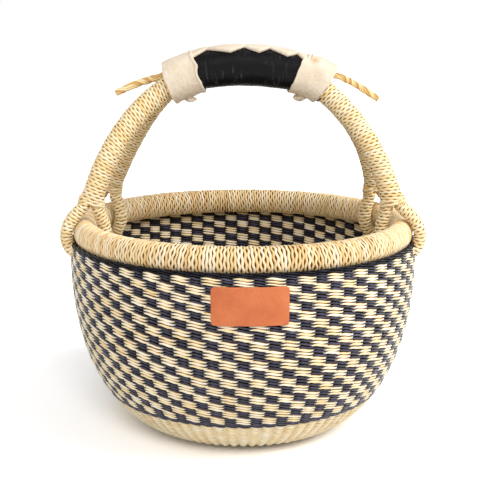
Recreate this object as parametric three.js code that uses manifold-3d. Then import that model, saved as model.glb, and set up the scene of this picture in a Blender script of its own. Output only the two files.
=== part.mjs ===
// A round market basket. The bowl is woven of plain and dyed grass over upright stakes, on a flat foot.
// The rim is a roll wrapped with one grass strand. Two wrapped bundles arch over the bowl side by side
// and make the handle. Each of their four ends is looped through the wall and round the rim, and a
// leather grip is laced over the middle.
// Millimetres. +Z is up, +X is to the right, and -Y is the front. The origin is the middle of the foot.

import * as THREE from 'three';
import * as BufferGeometryUtils from 'three/addons/utils/BufferGeometryUtils.js';
import Module from 'manifold-3d';

const wasm = await Module();
wasm.setup();

// Clearances
const seatGap = 0.3;            // between two pieces that lie on each other
const passGap = 0.5;            // round a strand that passes through the wall
const mergeGap = 0.001;         // corners nearer than this are one corner
const overrun = 30;             // how far a cutting block reaches past what it cuts

// Bowl
const rimHeight = 151.4;        // floor to the middle of the rim's roll
const rimRadius = 121.2;        // to the middle of the rim's roll
const rimRollHalfWidth = 8.8;
const rimRollHalfHeight = 10.4;
const wallThickness = 5;
const bellyRadius = 133;
const bellyDrop = 22.4;           // rim to the widest place
const bellyPull = 85.6;         // how long the wall stays upright below the widest place
const lipRadius = 131.9;
const lipDrop = 5.1;            // rim to the top edge of the weave
const lipPull = 6;
const footRadius = 65;
const footPull = 29.5;          // how long the wall runs level beside the foot
const startRadius = 18;         // the disc that the weaving starts from

// Weave
const stakeCount = 78;          // upright columns, with one check or one rib on each
const checkRowCount = 17;
const checkHeight = 6.7;        // mean height of a row of checks, along the wall
const tightShare = 0.1;         // how much closer the rows are at the top
const swellShare = 0.06;        // how much taller they are half way down
const upperBorderHeight = 3.4;
const lowerBorderHeight = 4;
const checkRelief = 0.7;        // how far the dyed checks lie below the plain ones
const ribRelief = 1.1;          // depth between two ribs of the base

// Wrapping
const rimWrapSides = 8;
const legWrapSides = 7;
const loopWrapSides = 6;
const wrapRelief = 0.8;
const rimWrapPitch = 7.9;
const handleWrapPitch = 6.4;

// Handle
const bundleRadius = 8.2;
const bundleSpacing = 17;       // between the middles of the two bundles, at the grip
const frontFootAngle = THREE.MathUtils.degToRad(14);
const backFootAngle = THREE.MathUtils.degToRad(21);
const gripRise = 122.3;         // rim to the middle of the grip
const gripReach = 67;           // half the span of the grip's line
const gripSag = 20.8;           // how far the ends of that line lie below its middle
const gripPull = 18;            // how early the line bends down at its ends
const leftCoreReach = 52;       // along that line from its middle to where the wrapped legs begin
const rightCoreReach = 58;
const backShift = 6.5;          // how much farther to the right the back bundle lies
const coreGap = 0.9;            // between the bundles and the sleeve
const legSink = 3;              // how far the bundles lie below that line where they leave the leather
const leftLegTopPull = 24;
const rightLegTopPull = 19;
const legFootLean = THREE.MathUtils.degToRad(14);
const backFootTurn = THREE.MathUtils.degToRad(9);   // how much more the back legs lean to the right
const legFootPull = 48;
const footReachShare = 0.14;    // share of a leg's line over which it changes toward its foot
const footFlareShare = 0.67;    // how much wider a bundle gets where it splits in two
const footPinchShare = 0.33;    // how much flatter

// Foot loops
const strandHalfWidth = 6.2;    // along the rim
const strandHalfThickness = 5;
const loopRise = 12.1;          // top of the rim's roll to where a loop's two ends meet the leg
const loopSlack = 0.6;          // free space under the rim's roll
const loopEndPull = 5;          // how far the two ends stay side by side
const roundShare = 0.55;        // where the control points of a round quarter lie
const leftLoopLean = THREE.MathUtils.degToRad(12);
const rightLoopLean = THREE.MathUtils.degToRad(15.5);

// Grip
const gripHalfWidth = 18.4;
const gripHalfHeight = 14.3;
const gripEndHalfHeight = 12.9;
const gripEvenReach = 18;       // how far from the middle the grip keeps its full height
const gripEndReach = 56;        // where it is down to its least height
const gripRoundness = 2.6;      // power of its outline: 2 is an ellipse, more is squarer
const sleeveThickness = 1.4;
const slitHalfWidth = 3;
const cuffThickness = 1.1;
const cuffGap = 0.7;            // between a cuff and the sleeve
// From the grip's middle to a cuff's two edges, how much farther they lie on top than underneath, and
// how much looser the cuff is on top and underneath.
const leftCuff = { start: 33.1, startLean: 1.9, end: 58.8, endLean: -3.3, topSlack: 0.2, lowSlack: 2.7 };
const rightCuff = { start: 39.7, startLean: 2.3, end: 64, endLean: -1, topSlack: 3, lowSlack: 0 };
const nubLength = 9;
const nubWidth = 7;
const nubHeight = 5;
const nubStartShare = 0.45;     // where along the cuff its tied end comes out
const nubSinkShare = 0.7;       // how deep it is rooted in the cuff's thickness

// Lace
const laceStitchCount = 5;
const laceHalfWidth = 7.8;
const laceWave = 5.4;
const laceThickness = 2.4;

// Cord tails
const tailDiameter = 5.4;
const tailSides = 10;
const tailStep = 10;

// Label patch
const patchWidth = 51;
const patchHeight = 26;
const patchThickness = 1.5;
const patchCorner = 2.5;
const patchShift = 4.3;         // to the right of the middle
const patchDrop = 27.1;         // rim to the middle of the patch

const plainGrass = { color: 0xe6cf9c, roughness: 0.75, metalness: 0 };
const dyedGrass = { color: 0x2b2735, roughness: 0.7, metalness: 0 };
const mixedGrass = { color: 0x8f8471, roughness: 0.75, metalness: 0 };
const blackLeather = { color: 0x1a1a1d, roughness: 0.5, metalness: 0 };
const paleLeather = { color: 0xe2cdb0, roughness: 0.8, metalness: 0 };
const tanLeather = { color: 0xcf7a45, roughness: 0.6, metalness: 0 };

const up = new THREE.Vector3(0, 0, 1);
const back = new THREE.Vector3(0, 1, 0);

// Closed bodies

// Turns the faces outward where they all point in.
function closedGeometry(positions, index) {
  const corner = (place) => new THREE.Vector3().fromArray(positions, 3 * index[place]);
  let volume = 0;
  for (let place = 0; place < index.length; place += 3) {
    volume += corner(place).dot(corner(place + 1).cross(corner(place + 2)));
  }
  if (volume < 0) {
    index.reverse();
  }
  const geometry = new THREE.BufferGeometry();
  geometry.setAttribute('position', new THREE.Float32BufferAttribute(positions, 3));
  geometry.setIndex(index);
  return geometry;
}

// A sheet with a thickness, such as a wall or a strip of leather. The outer face has a point at each
// outer row and column and the inner face at each inner row and column. A closed sheet meets itself
// round the part, and an open one has the same number of rows on both faces.
function sheetGeometry({ columns, closed, outerRows, innerRows, place, fold = () => false }) {
  const perRow = closed ? columns : columns + 1;
  const rows = [
    ...outerRows.map((row) => ({ row, outer: true })),
    ...innerRows.map((row) => ({ row, outer: false })).reverse(),
  ];
  const positions = [];
  const index = [];
  rows.forEach(({ row, outer }) => {
    for (let column = 0; column < perRow; column += 1) {
      positions.push(...place(column, row, outer));
    }
  });
  const at = (row, column) => (row % rows.length) * perRow + (column % perRow);
  const addQuad = (a, b, c, d, turned) => {
    index.push(...(turned ? [a, b, d, b, c, d] : [a, b, c, a, c, d]));
  };
  for (let row = 0; row < rows.length; row += 1) {
    for (let column = 0; column < columns; column += 1) {
      const turned = fold(row, column);
      addQuad(at(row, column), at(row, column + 1), at(row + 1, column + 1), at(row + 1, column), turned);
    }
  }
  if (!closed) {
    for (let row = 0; row + 1 < outerRows.length; row += 1) {
      const under = rows.length - 1 - row;
      addQuad(at(row, 0), at(row + 1, 0), at(under - 1, 0), at(under, 0), false);
      addQuad(at(under, columns), at(under - 1, columns), at(row + 1, columns), at(row, columns), false);
    }
  }
  return closedGeometry(positions, index);
}

// The place and the two cross directions of a section of a line.
function sectionAt(line, share, reference) {
  const along = line.getTangentAt(share);
  const side = reference.clone().addScaledVector(along, -reference.dot(along)).normalize();
  return { centre: line.getPointAt(share), side, rise: along.clone().cross(side) };
}

// A solid through rings of points. A closed one meets itself, and an open one has a flat face at both ends.
function loftGeometry({ rings, sides, closed, place }) {
  const count = closed ? rings : rings + 1;
  const positions = [];
  const index = [];
  for (let ring = 0; ring < count; ring += 1) {
    for (let corner = 0; corner < sides; corner += 1) {
      positions.push(...place(ring / rings, (2 * Math.PI * corner) / sides));
    }
  }
  const at = (ring, corner) => (ring % count) * sides + (corner % sides);
  for (let ring = 0; ring < rings; ring += 1) {
    for (let corner = 0; corner < sides; corner += 1) {
      const [a, b] = [at(ring, corner), at(ring, corner + 1)];
      const [c, d] = [at(ring + 1, corner + 1), at(ring + 1, corner)];
      index.push(a, b, c, a, c, d);
    }
  }
  if (!closed) {
    for (let corner = 1; corner + 1 < sides; corner += 1) {
      index.push(at(0, 0), at(0, corner + 1), at(0, corner));
      index.push(at(rings, 0), at(rings, corner), at(rings, corner + 1));
    }
  }
  return closedGeometry(positions, index);
}

// A roll that one strand is wound round, in turns that touch. Its crest and its valley are two unbroken
// helices, half a pitch apart.
function wrappedGeometry({ line, reference, radii, pitch, sides, closed }) {
  const length = line.getLength();
  const turns = Math.round(length / pitch);
  const steps = turns * sides;
  const spanTurns = closed ? turns : turns + 1 / 2;
  const count = closed ? steps : steps + 1;
  const positions = [];
  const index = [];
  const addHelix = (lead, depth) => {
    for (let step = 0; step < count; step += 1) {
      const share = Math.min((step / sides + lead) / spanTurns, 1);
      const angle = (2 * Math.PI * step) / sides;
      const { centre, side, rise } = sectionAt(line, share, reference);
      const [across, upward] = radii(share);
      const point = centre
        .addScaledVector(side, (across - depth) * Math.cos(angle))
        .addScaledVector(rise, (upward - depth) * Math.sin(angle));
      positions.push(...point);
    }
  };
  addHelix(0, 0);
  addHelix(1 / 2, wrapRelief);
  const crest = (step) => (closed ? step % count : step);
  const valley = (step) => count + (closed ? step % count : step);
  for (let step = 0; step < steps; step += 1) {
    index.push(crest(step), crest(step + 1), valley(step + 1));
    index.push(crest(step), valley(step + 1), valley(step));
    if (closed || step + sides < steps) {
      index.push(valley(step), valley(step + 1), crest(step + 1 + sides));
      index.push(valley(step), crest(step + 1 + sides), crest(step + sides));
    }
  }
  if (!closed) {
    const startLoop = [valley(0)];
    const endLoop = [crest(steps)];
    for (let step = 0; step <= sides; step += 1) {
      startLoop.unshift(crest(step));
      endLoop.push(valley(steps - sides + step));
    }
    [[startLoop, 0], [endLoop, 1]].forEach(([loop, share]) => {
      const middle = positions.length / 3;
      positions.push(...line.getPointAt(share));
      loop.forEach((corner, place) => {
        index.push(middle, corner, loop[(place + 1) % loop.length]);
      });
    });
  }
  return closedGeometry(positions, index);
}

// Cuts and joins

function solidFrom(geometry) {
  const bare = geometry.clone();
  bare.deleteAttribute('normal');
  bare.deleteAttribute('uv');
  const merged = BufferGeometryUtils.mergeVertices(bare, mergeGap);
  return new wasm.Manifold(new wasm.Mesh({
    numProp: 3,
    vertProperties: new Float32Array(merged.getAttribute('position').array),
    triVerts: new Uint32Array(merged.index.array),
  }));
}

function geometryFrom(solid) {
  const mesh = solid.getMesh();
  const geometry = new THREE.BufferGeometry();
  geometry.setAttribute('position', new THREE.BufferAttribute(mesh.vertProperties, 3));
  geometry.setIndex(new THREE.BufferAttribute(mesh.triVerts, 1));
  return geometry;
}

// A block whose one face is the plane through a point, on the side that the direction points to.
function blockBeyond(point, direction) {
  const block = new THREE.BoxGeometry(overrun, overrun, overrun);
  block.translate(0, 0, overrun / 2);
  block.applyQuaternion(new THREE.Quaternion().setFromUnitVectors(up, direction));
  block.translate(...point);
  return solidFrom(block);
}

// The wall's outline

const wallLine = new THREE.Path();
wallLine.moveTo(lipRadius, rimHeight - lipDrop);
wallLine.bezierCurveTo(
  bellyRadius,
  rimHeight - lipDrop - lipPull,
  bellyRadius,
  rimHeight - bellyDrop + lipPull,
  bellyRadius,
  rimHeight - bellyDrop,
);
wallLine.bezierCurveTo(
  bellyRadius,
  rimHeight - bellyDrop - bellyPull,
  footRadius + footPull,
  0,
  footRadius,
  0,
);
wallLine.lineTo(startRadius, 0);
const wallLength = wallLine.getLength();

// A point of the wall. Along is measured down the outside from its top edge, and depth inward from it.
function wallPoint(along, depth, angle) {
  const share = Math.min(1, along / wallLength);
  const place = wallLine.getPoint(share);
  const run = wallLine.getTangent(share);
  const radius = place.x + run.y * depth;
  const height = place.y - run.x * depth;
  return [radius * Math.sin(angle), -radius * Math.cos(angle), height];
}

const checksStart = upperBorderHeight;
const checksLength = checkRowCount * checkHeight;
const checksEnd = checksStart + checksLength;
const baseStart = checksEnd + lowerBorderHeight;

// How far down the wall a row of checks begins. Row 0 is the top one.
function checkRowStart(row) {
  const share = row / checkRowCount;
  const swell = (swellShare * Math.sin(2 * Math.PI * share)) / (2 * Math.PI);
  return checksStart + checksLength * (share * (1 - tightShare * (1 - share)) - swell);
}

// How far down the wall a height is.
function alongAtHeight(height) {
  const steps = 400;
  const nearest = spread(0, wallLength, steps).map((along) => ({
    along,
    miss: Math.abs(wallPoint(along, 0, 0)[2] - height),
  }));
  return nearest.reduce((best, place) => (place.miss < best.miss ? place : best)).along;
}

// Evenly spaced values from the first to the last.
function spread(first, last, parts) {
  return Array.from({ length: parts + 1 }, (unused, part) => first + ((last - first) * part) / parts);
}

function makeUpperBorder() {
  const clearWidth = rimRollHalfWidth + seatGap;
  const clearHeight = rimRollHalfHeight + seatGap;
  return sheetGeometry({
    columns: stakeCount,
    closed: true,
    outerRows: spread(0, upperBorderHeight - seatGap, 1),
    innerRows: spread(0, upperBorderHeight - seatGap, 2),
    place: (column, row, outer) => {
      const angle = (2 * Math.PI * column) / stakeCount;
      const [x, y, z] = wallPoint(row, outer ? 0 : wallThickness, angle);
      const dropShare = Math.min((rimHeight - z) / clearHeight, 1);
      const clearRadius = rimRadius + clearWidth * Math.sqrt(1 - dropShare ** 2);
      const grow = Math.max(1, clearRadius / Math.hypot(x, y));
      return [x * grow, y * grow, z];
    },
  });
}

// A plain check is raised above the dyed ones beside it, so each row and column has a raised place at
// every other stake.
function makeCheckWall() {
  const middles = Array.from({ length: checkRowCount }, (unused, row) => row + 1 / 2);
  const plain = (column, row) => (column + Math.floor(row)) % 2 === 0;
  return sheetGeometry({
    columns: stakeCount,
    closed: true,
    outerRows: [0, ...middles, checkRowCount],
    innerRows: spread(0, checkRowCount, 4),
    place: (column, row, outer) => {
      const edge = row === 0 || row === checkRowCount;
      const sunk = edge || plain(column, row) ? 0 : checkRelief;
      const inward = outer ? sunk : wallThickness;
      const along = row === checkRowCount ? checksEnd - seatGap : checkRowStart(row);
      return wallPoint(along, inward, (2 * Math.PI * column) / stakeCount);
    },
    fold: (row, column) => (column + row) % 2 === 1,
  });
}

function makeLowerBorder() {
  return sheetGeometry({
    columns: stakeCount,
    closed: true,
    outerRows: [checksEnd, baseStart - seatGap],
    innerRows: [checksEnd, baseStart - seatGap],
    place: (column, row, outer) => (
      wallPoint(row, outer ? 0 : wallThickness, (2 * Math.PI * column) / stakeCount)
    ),
  });
}

// The ribs run down over the stakes and in under the foot, and die out at the middle.
function makeBaseWeave() {
  const footAlong = wallLength - (footRadius - startRadius);
  const end = wallLength - seatGap;
  return sheetGeometry({
    columns: 2 * stakeCount,
    closed: true,
    outerRows: [...spread(baseStart, footAlong, 3), end],
    innerRows: [...spread(baseStart, footAlong, 2), end],
    place: (column, row, outer) => {
      const fade = Math.min(1, (end - row) / (end - footAlong));
      const groove = column % 2 === 1 ? ribRelief * fade : 0;
      return wallPoint(row, outer ? groove : wallThickness, (Math.PI * column) / stakeCount);
    },
  });
}

function makeBaseStart() {
  const rings = [
    new THREE.Vector2(0, 0),
    new THREE.Vector2(startRadius - seatGap, 0),
    new THREE.Vector2(startRadius - seatGap, wallThickness),
    new THREE.Vector2(0, wallThickness),
  ];
  const disc = new THREE.LatheGeometry(rings, stakeCount / 2);
  disc.rotateX(Math.PI / 2);
  return geometryFrom(solidFrom(disc));
}

// The rim

class RimLine extends THREE.Curve {
  getPoint(share, target = new THREE.Vector3()) {
    const angle = 2 * Math.PI * share;
    return target.set(rimRadius * Math.cos(angle), rimRadius * Math.sin(angle), rimHeight);
  }
}

function makeRim() {
  return wrappedGeometry({
    line: new RimLine(),
    reference: up,
    radii: () => [rimRollHalfHeight, rimRollHalfWidth],
    pitch: rimWrapPitch,
    sides: rimWrapSides,
    closed: true,
  });
}

// The foot loops

const runOnTurns = 1.5;
const runOn = runOnTurns * handleWrapPitch;

// A bundle splits in two over the rim. One half goes down outside the rim and the other inside it, and
// they are one strand under it. The loop lies in the upright plane through the basket's middle and its
// place on the rim, and leans inward at the top.
class FootLoop {
  constructor(bearing, lean) {
    this.outward = new THREE.Vector3(Math.cos(bearing), Math.sin(bearing), 0);
    this.lean = lean;
  }

  // A point of the loop's plane, outward and upward from the middle of the rim's roll.
  place(across, rise) {
    const radius = rimRadius + across * Math.cos(this.lean) - rise * Math.sin(this.lean);
    const height = rimHeight + across * Math.sin(this.lean) + rise * Math.cos(this.lean);
    return this.outward.clone().multiplyScalar(radius).setZ(height);
  }

  // The rim's own direction, which the loop goes round.
  get axis() {
    return up.clone().cross(this.outward);
  }

  // Where the loop's two ends meet the leg.
  get foot() {
    return this.place(0, rimRollHalfHeight + loopRise);
  }

  // The line runs on straight at both ends, and is cut there.
  get line() {
    const endAcross = strandHalfThickness + seatGap / 2;
    const endRise = rimRollHalfHeight + loopRise;
    const halfWidth = rimRollHalfWidth + strandHalfThickness + passGap;
    const drop = rimRollHalfHeight + strandHalfThickness + passGap + loopSlack;
    const corners = [
      [endAcross, endRise],
      [endAcross, endRise - loopEndPull],
      [halfWidth, rimRollHalfHeight + passGap],
      [halfWidth, 0],
      [halfWidth, -roundShare * drop],
      [roundShare * halfWidth, -drop],
      [0, -drop],
    ];
    const outside = corners.map(([across, rise]) => this.place(across, rise));
    const inside = corners.map(([across, rise]) => this.place(-across, rise)).reverse();
    const line = new THREE.CurvePath();
    line.add(new THREE.LineCurve3(this.place(endAcross, endRise + runOn), outside[0]));
    line.add(new THREE.CubicBezierCurve3(...outside.slice(0, 4)));
    line.add(new THREE.CubicBezierCurve3(...outside.slice(3)));
    line.add(new THREE.CubicBezierCurve3(...inside.slice(0, 4)));
    line.add(new THREE.CubicBezierCurve3(...inside.slice(3)));
    line.add(new THREE.LineCurve3(inside.at(-1), this.place(-endAcross, endRise + runOn)));
    return line;
  }
}

function makeLoop(loop, leg) {
  const strand = solidFrom(wrappedGeometry({
    line: loop.line,
    reference: loop.axis,
    radii: () => [strandHalfWidth, strandHalfThickness],
    pitch: handleWrapPitch,
    sides: loopWrapSides,
    closed: false,
  }));
  const direction = legFootDirection(loop, leg);
  const end = loop.foot.addScaledVector(direction, -seatGap);
  return geometryFrom(strand.subtract(blockBeyond(end, direction)));
}

// The space that a loop needs, with a gap round it.
function loopSpace(loop, gap) {
  const sides = 10;
  const grow = 1 / Math.cos(Math.PI / sides);
  const { line } = loop;
  return solidFrom(loftGeometry({
    rings: 36,
    sides,
    closed: false,
    place: (share, angle) => {
      const { centre, side, rise } = sectionAt(line, share, loop.axis);
      return centre
        .addScaledVector(side, grow * (strandHalfWidth + gap) * Math.cos(angle))
        .addScaledVector(rise, grow * (strandHalfThickness + gap) * Math.sin(angle));
    },
  }));
}

// The handle's lines

const crownHeight = rimHeight + gripRise;
const gripEndHeight = crownHeight - gripSag;
// The height of the two middle control points that puts the line's middle at the crown.
const gripControlHeight = gripEndHeight + (gripSag * 4) / 3;

function gripEnd(side, y) {
  return new THREE.Vector3(side * gripReach, y, gripEndHeight);
}

function gripControl(side, y) {
  return new THREE.Vector3(side * (gripReach - gripPull), y, gripControlHeight);
}

function gripLineAt(y) {
  return new THREE.CubicBezierCurve3(gripEnd(-1, y), gripControl(-1, y), gripControl(1, y), gripEnd(1, y));
}

const gripLine = gripLineAt(0);
const gripLineLength = gripLine.getLength();

// The middle, the direction toward +X and the upward direction of the grip at a distance from its middle.
function gripSection(distance) {
  const share = 1 / 2 + distance / gripLineLength;
  const along = gripLine.getTangentAt(share);
  return { centre: gripLine.getPointAt(share), along, rise: along.clone().cross(back) };
}

// The legs

// A leg runs from the ends of its loop up into a cuff. Its line runs on straight at both ends, and is
// cut there.
function legTop({ side, reach, shift, y }) {
  const { centre, along, rise } = gripSection(side * reach + shift);
  return {
    point: centre.addScaledVector(rise, -legSink).setY(y),
    outward: along.multiplyScalar(side),
  };
}

function legFootDirection(loop, { side, footTurn }) {
  const lean = footTurn - side * legFootLean;
  const direction = new THREE.Vector3(Math.sin(lean), 0, Math.cos(lean));
  direction.y = (direction.x * loop.outward.y) / loop.outward.x;
  return direction.normalize();
}

function legLine(loop, leg) {
  const { foot } = loop;
  const { point: top, outward } = legTop(leg);
  const footDirection = legFootDirection(loop, leg);
  const line = new THREE.CurvePath();
  line.add(new THREE.LineCurve3(foot.clone().addScaledVector(footDirection, -runOn), foot));
  line.add(new THREE.CubicBezierCurve3(
    foot,
    foot.clone().addScaledVector(footDirection, legFootPull),
    top.clone().addScaledVector(outward, leg.topPull),
    top,
  ));
  line.add(new THREE.LineCurve3(top, top.clone().addScaledVector(outward, -runOn)));
  return line;
}

function makeLeg(loop, leg) {
  const solid = solidFrom(wrappedGeometry({
    line: legLine(loop, leg),
    reference: back,
    radii: (share) => {
      const nearFoot = Math.max(0, 1 - share / footReachShare);
      return [bundleRadius * (1 - footPinchShare * nearFoot), bundleRadius * (1 + footFlareShare * nearFoot)];
    },
    pitch: handleWrapPitch,
    sides: legWrapSides,
    closed: false,
  }));
  const { point: top, outward } = legTop(leg);
  const topCut = blockBeyond(top, outward.negate());
  const footCut = blockBeyond(loop.foot, legFootDirection(loop, leg).negate());
  return geometryFrom(solid.subtract(topCut).subtract(footCut));
}

// The grip

// Half the grip's height at a distance from its middle, at the outside of the sleeve.
function gripHeightAt(distance) {
  const share = THREE.MathUtils.smoothstep(Math.abs(distance), gripEvenReach, gripEndReach);
  return THREE.MathUtils.lerp(gripHalfHeight, gripEndHalfHeight, share);
}

// A point of a rounded outline, as shares of its half width and half height. Angle 0 is its top.
function roundedShares(angle) {
  const power = 2 / gripRoundness;
  const across = Math.sign(Math.sin(angle)) * Math.abs(Math.sin(angle)) ** power;
  const upward = Math.sign(Math.cos(angle)) * Math.abs(Math.cos(angle)) ** power;
  return [across, upward];
}

// A point on the grip: its distance along the line from the middle, the angle from the top, and how far
// it lies outside the sleeve's outer face.
function gripPoint(distance, angle, outside) {
  const { centre, rise } = gripSection(distance);
  const [across, upward] = roundedShares(angle);
  return centre
    .addScaledVector(back, across * (gripHalfWidth + outside))
    .addScaledVector(rise, upward * (gripHeightAt(distance) + outside));
}

// The two bundles are pressed flat against each other inside the sleeve. Their inside shows nowhere.
function makeGripCore(ySide, shift) {
  const start = -leftCoreReach + shift + seatGap;
  const end = rightCoreReach + shift - seatGap;
  return loftGeometry({
    rings: 6,
    sides: 16,
    closed: false,
    place: (share, angle) => {
      const distance = THREE.MathUtils.lerp(start, end, share);
      const point = gripPoint(distance, angle, -sleeveThickness - coreGap);
      point.y = ySide * Math.max(ySide * point.y, seatGap / 2);
      return point;
    },
  });
}

// The sleeve is bent round the bundles, and its two edges leave a slit along the top. It ends where the
// first wrapped leg begins.
function makeGripSleeve() {
  const slitAngle = Math.asin((slitHalfWidth / gripHalfWidth) ** (gripRoundness / 2));
  const columns = 18;
  const rows = spread(backShift - leftCoreReach + seatGap, rightCoreReach - seatGap, 8);
  return sheetGeometry({
    columns,
    closed: false,
    outerRows: rows,
    innerRows: rows,
    place: (column, row, outer) => {
      const angle = THREE.MathUtils.lerp(slitAngle, 2 * Math.PI - slitAngle, column / columns);
      return gripPoint(row, angle, outer ? 0 : -sleeveThickness);
    },
  });
}

// A cuff is a band of pale leather round the end of the sleeve. Its tied end sticks out underneath.
function makeCuff(side, cuff) {
  const columns = 22;
  const outsideAt = (angle) => {
    const slack = Math.cos(angle) > 0 ? cuff.topSlack : cuff.lowSlack;
    return cuffGap + slack * Math.cos(angle) ** 2;
  };
  const band = sheetGeometry({
    columns,
    closed: true,
    outerRows: spread(0, 1, 3),
    innerRows: spread(0, 1, 3),
    place: (column, share, outer) => {
      const angle = (2 * Math.PI * column) / columns;
      const start = cuff.start + cuff.startLean * Math.cos(angle);
      const end = cuff.end + cuff.endLean * Math.cos(angle);
      const distance = side * THREE.MathUtils.lerp(start, end, share);
      return gripPoint(distance, angle, outsideAt(angle) + (outer ? cuffThickness : 0));
    },
  });
  const nub = new THREE.SphereGeometry(1 / 2, 10, 6);
  nub.scale(nubLength, nubWidth, nubHeight);
  const nubDistance = side * THREE.MathUtils.lerp(cuff.start, cuff.end, nubStartShare);
  const nubOutside = outsideAt(Math.PI) + cuffThickness * (1 - nubSinkShare) + nubHeight / 2;
  nub.translate(...gripPoint(nubDistance, Math.PI, nubOutside));
  return geometryFrom(solidFrom(band).add(solidFrom(nub)));
}

// The lace runs over the slit in wide stitches, so both of its edges are wavy.
function makeLace() {
  const columns = 4;
  const rowsPerStitch = 4;
  const start = -leftCuff.start - leftCuff.startLean + seatGap;
  const end = rightCuff.start + rightCuff.startLean - seatGap;
  const rows = spread(start, end, laceStitchCount * rowsPerStitch);
  return sheetGeometry({
    columns,
    closed: false,
    outerRows: rows,
    innerRows: rows,
    place: (column, row, outer) => {
      const stitches = (laceStitchCount * (row - start)) / (end - start);
      const halfWidth = laceHalfWidth + laceWave * (Math.abs(Math.sin(Math.PI * stitches)) - 1 / 2);
      const edgeAngle = Math.asin((halfWidth / gripHalfWidth) ** (gripRoundness / 2));
      const angle = THREE.MathUtils.lerp(-edgeAngle, edgeAngle, column / columns);
      return gripPoint(row, angle, seatGap + (outer ? laceThickness : 0));
    },
  });
}

// The cord tails
// Each tail is the free end of a twisted cord, and comes out of a cuff over the bundles.
const leftTailRoute = [
  [-53.4, 0, 270.4],
  [-61.2, -0.5, 266.5],
  [-68.1, -1.5, 264.7],
  [-75.3, -3, 262.6],
  [-83.8, -4.5, 259.6],
  [-91.5, -6, 255.9],
  [-95.4, -7, 254.1],
];
const rightTailRoute = [
  [62, -3.5, 270],
  [67.2, -3.5, 267.9],
  [72.8, -3.5, 266.2],
  [78.2, -4, 263.7],
  [85.4, -5, 260],
  [92.6, -6, 255.5],
  [98.9, -7, 251.3],
  [101.6, -7, 250],
];

function makeTail(route) {
  const line = new THREE.CatmullRomCurve3(route.map((point) => new THREE.Vector3(...point)));
  const section = new THREE.Shape();
  for (let corner = 0; corner < tailSides; corner += 1) {
    const angle = (2 * Math.PI * corner) / tailSides;
    const x = (tailDiameter / 2) * Math.cos(angle);
    const y = (tailDiameter / 2) * Math.sin(angle);
    if (corner === 0) {
      section.moveTo(x, y);
    } else {
      section.lineTo(x, y);
    }
  }
  section.closePath();
  return new THREE.ExtrudeGeometry(section, {
    steps: Math.round(line.getLength() / tailStep),
    extrudePath: line,
  });
}

// The label patch
// A bare patch of leather glued to the front, bent to the wall, with rounded corners.
function makePatch() {
  const columns = 12;
  const lines = spread(-1 / 2, 1 / 2, 4);
  const angleWidth = patchWidth / bellyRadius;
  const middle = patchShift / bellyRadius;
  const alongMiddle = alongAtHeight(rimHeight - patchDrop);
  return sheetGeometry({
    columns,
    closed: false,
    outerRows: lines,
    innerRows: lines,
    place: (column, row, outer) => {
      const share = (column / columns) - 1 / 2;
      const fromEnd = patchWidth * (1 / 2 - Math.abs(share));
      const cornerRun = Math.max(0, patchCorner - fromEnd);
      const cornerDrop = patchCorner - Math.sqrt(patchCorner ** 2 - cornerRun ** 2);
      const along = alongMiddle + row * (patchHeight - 2 * cornerDrop);
      const outside = seatGap + (outer ? patchThickness : 0);
      return wallPoint(along, -outside, middle + share * angleWidth);
    },
  });
}

// The basket

const basket = new THREE.Group();
basket.name = 'round_market_basket';

function addPart(name, geometry, finish) {
  geometry.computeVertexNormals();
  const mesh = new THREE.Mesh(geometry, new THREE.MeshStandardMaterial(finish));
  mesh.name = name;
  basket.add(mesh);
}

const bundles = [
  { place: 'front', y: -bundleSpacing / 2, footAngle: frontFootAngle, footTurn: 0, shift: 0 },
  { place: 'back', y: bundleSpacing / 2, footAngle: backFootAngle, footTurn: backFootTurn, shift: backShift },
];
const ends = [
  { hand: 'left', side: -1, reach: leftCoreReach, topPull: leftLegTopPull, lean: leftLoopLean },
  { hand: 'right', side: 1, reach: rightCoreReach, topPull: rightLegTopPull, lean: rightLoopLean },
];

let wallSolid = solidFrom(makeCheckWall());
let borderSolid = solidFrom(makeUpperBorder());
const handleParts = [];
bundles.forEach((bundle) => {
  ends.forEach((end) => {
    const y = Math.sign(bundle.y) * Math.sin(bundle.footAngle);
    const loop = new FootLoop(Math.atan2(y, end.side * Math.cos(bundle.footAngle)), end.lean);
    const passage = loopSpace(loop, passGap);
    wallSolid = wallSolid.subtract(passage);
    borderSolid = borderSolid.subtract(passage);
    const leg = { ...end, ...bundle };
    const name = `${bundle.place}_${end.hand}`;
    handleParts.push([`leg_${name}`, makeLeg(loop, leg), plainGrass]);
    handleParts.push([`foot_loop_${name}`, makeLoop(loop, leg), plainGrass]);
  });
});

addPart('base_start', makeBaseStart(), plainGrass);
addPart('base_weave', makeBaseWeave(), plainGrass);
addPart('lower_border', makeLowerBorder(), dyedGrass);
addPart('check_wall', geometryFrom(wallSolid), mixedGrass);
addPart('upper_border', geometryFrom(borderSolid), dyedGrass);
addPart('rim', makeRim(), plainGrass);
handleParts.forEach(([name, geometry, finish]) => addPart(name, geometry, finish));
addPart('grip_core_front', makeGripCore(-1, 0), plainGrass);
addPart('grip_core_back', makeGripCore(1, backShift), plainGrass);
addPart('grip_sleeve', makeGripSleeve(), blackLeather);
addPart('cuff_left', makeCuff(-1, leftCuff), paleLeather);
addPart('cuff_right', makeCuff(1, rightCuff), paleLeather);
addPart('grip_lace', makeLace(), paleLeather);
addPart('tail_cord_left', makeTail(leftTailRoute), plainGrass);
addPart('tail_cord_right', makeTail(rightTailRoute), plainGrass);
addPart('label_patch', makePatch(), tanLeather);

export default basket;
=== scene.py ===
# The looks of a round market basket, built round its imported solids.
# Metres. +Z is up, +X is to the right, and -Y is the front. The origin is the middle of the foot.

import math

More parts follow.
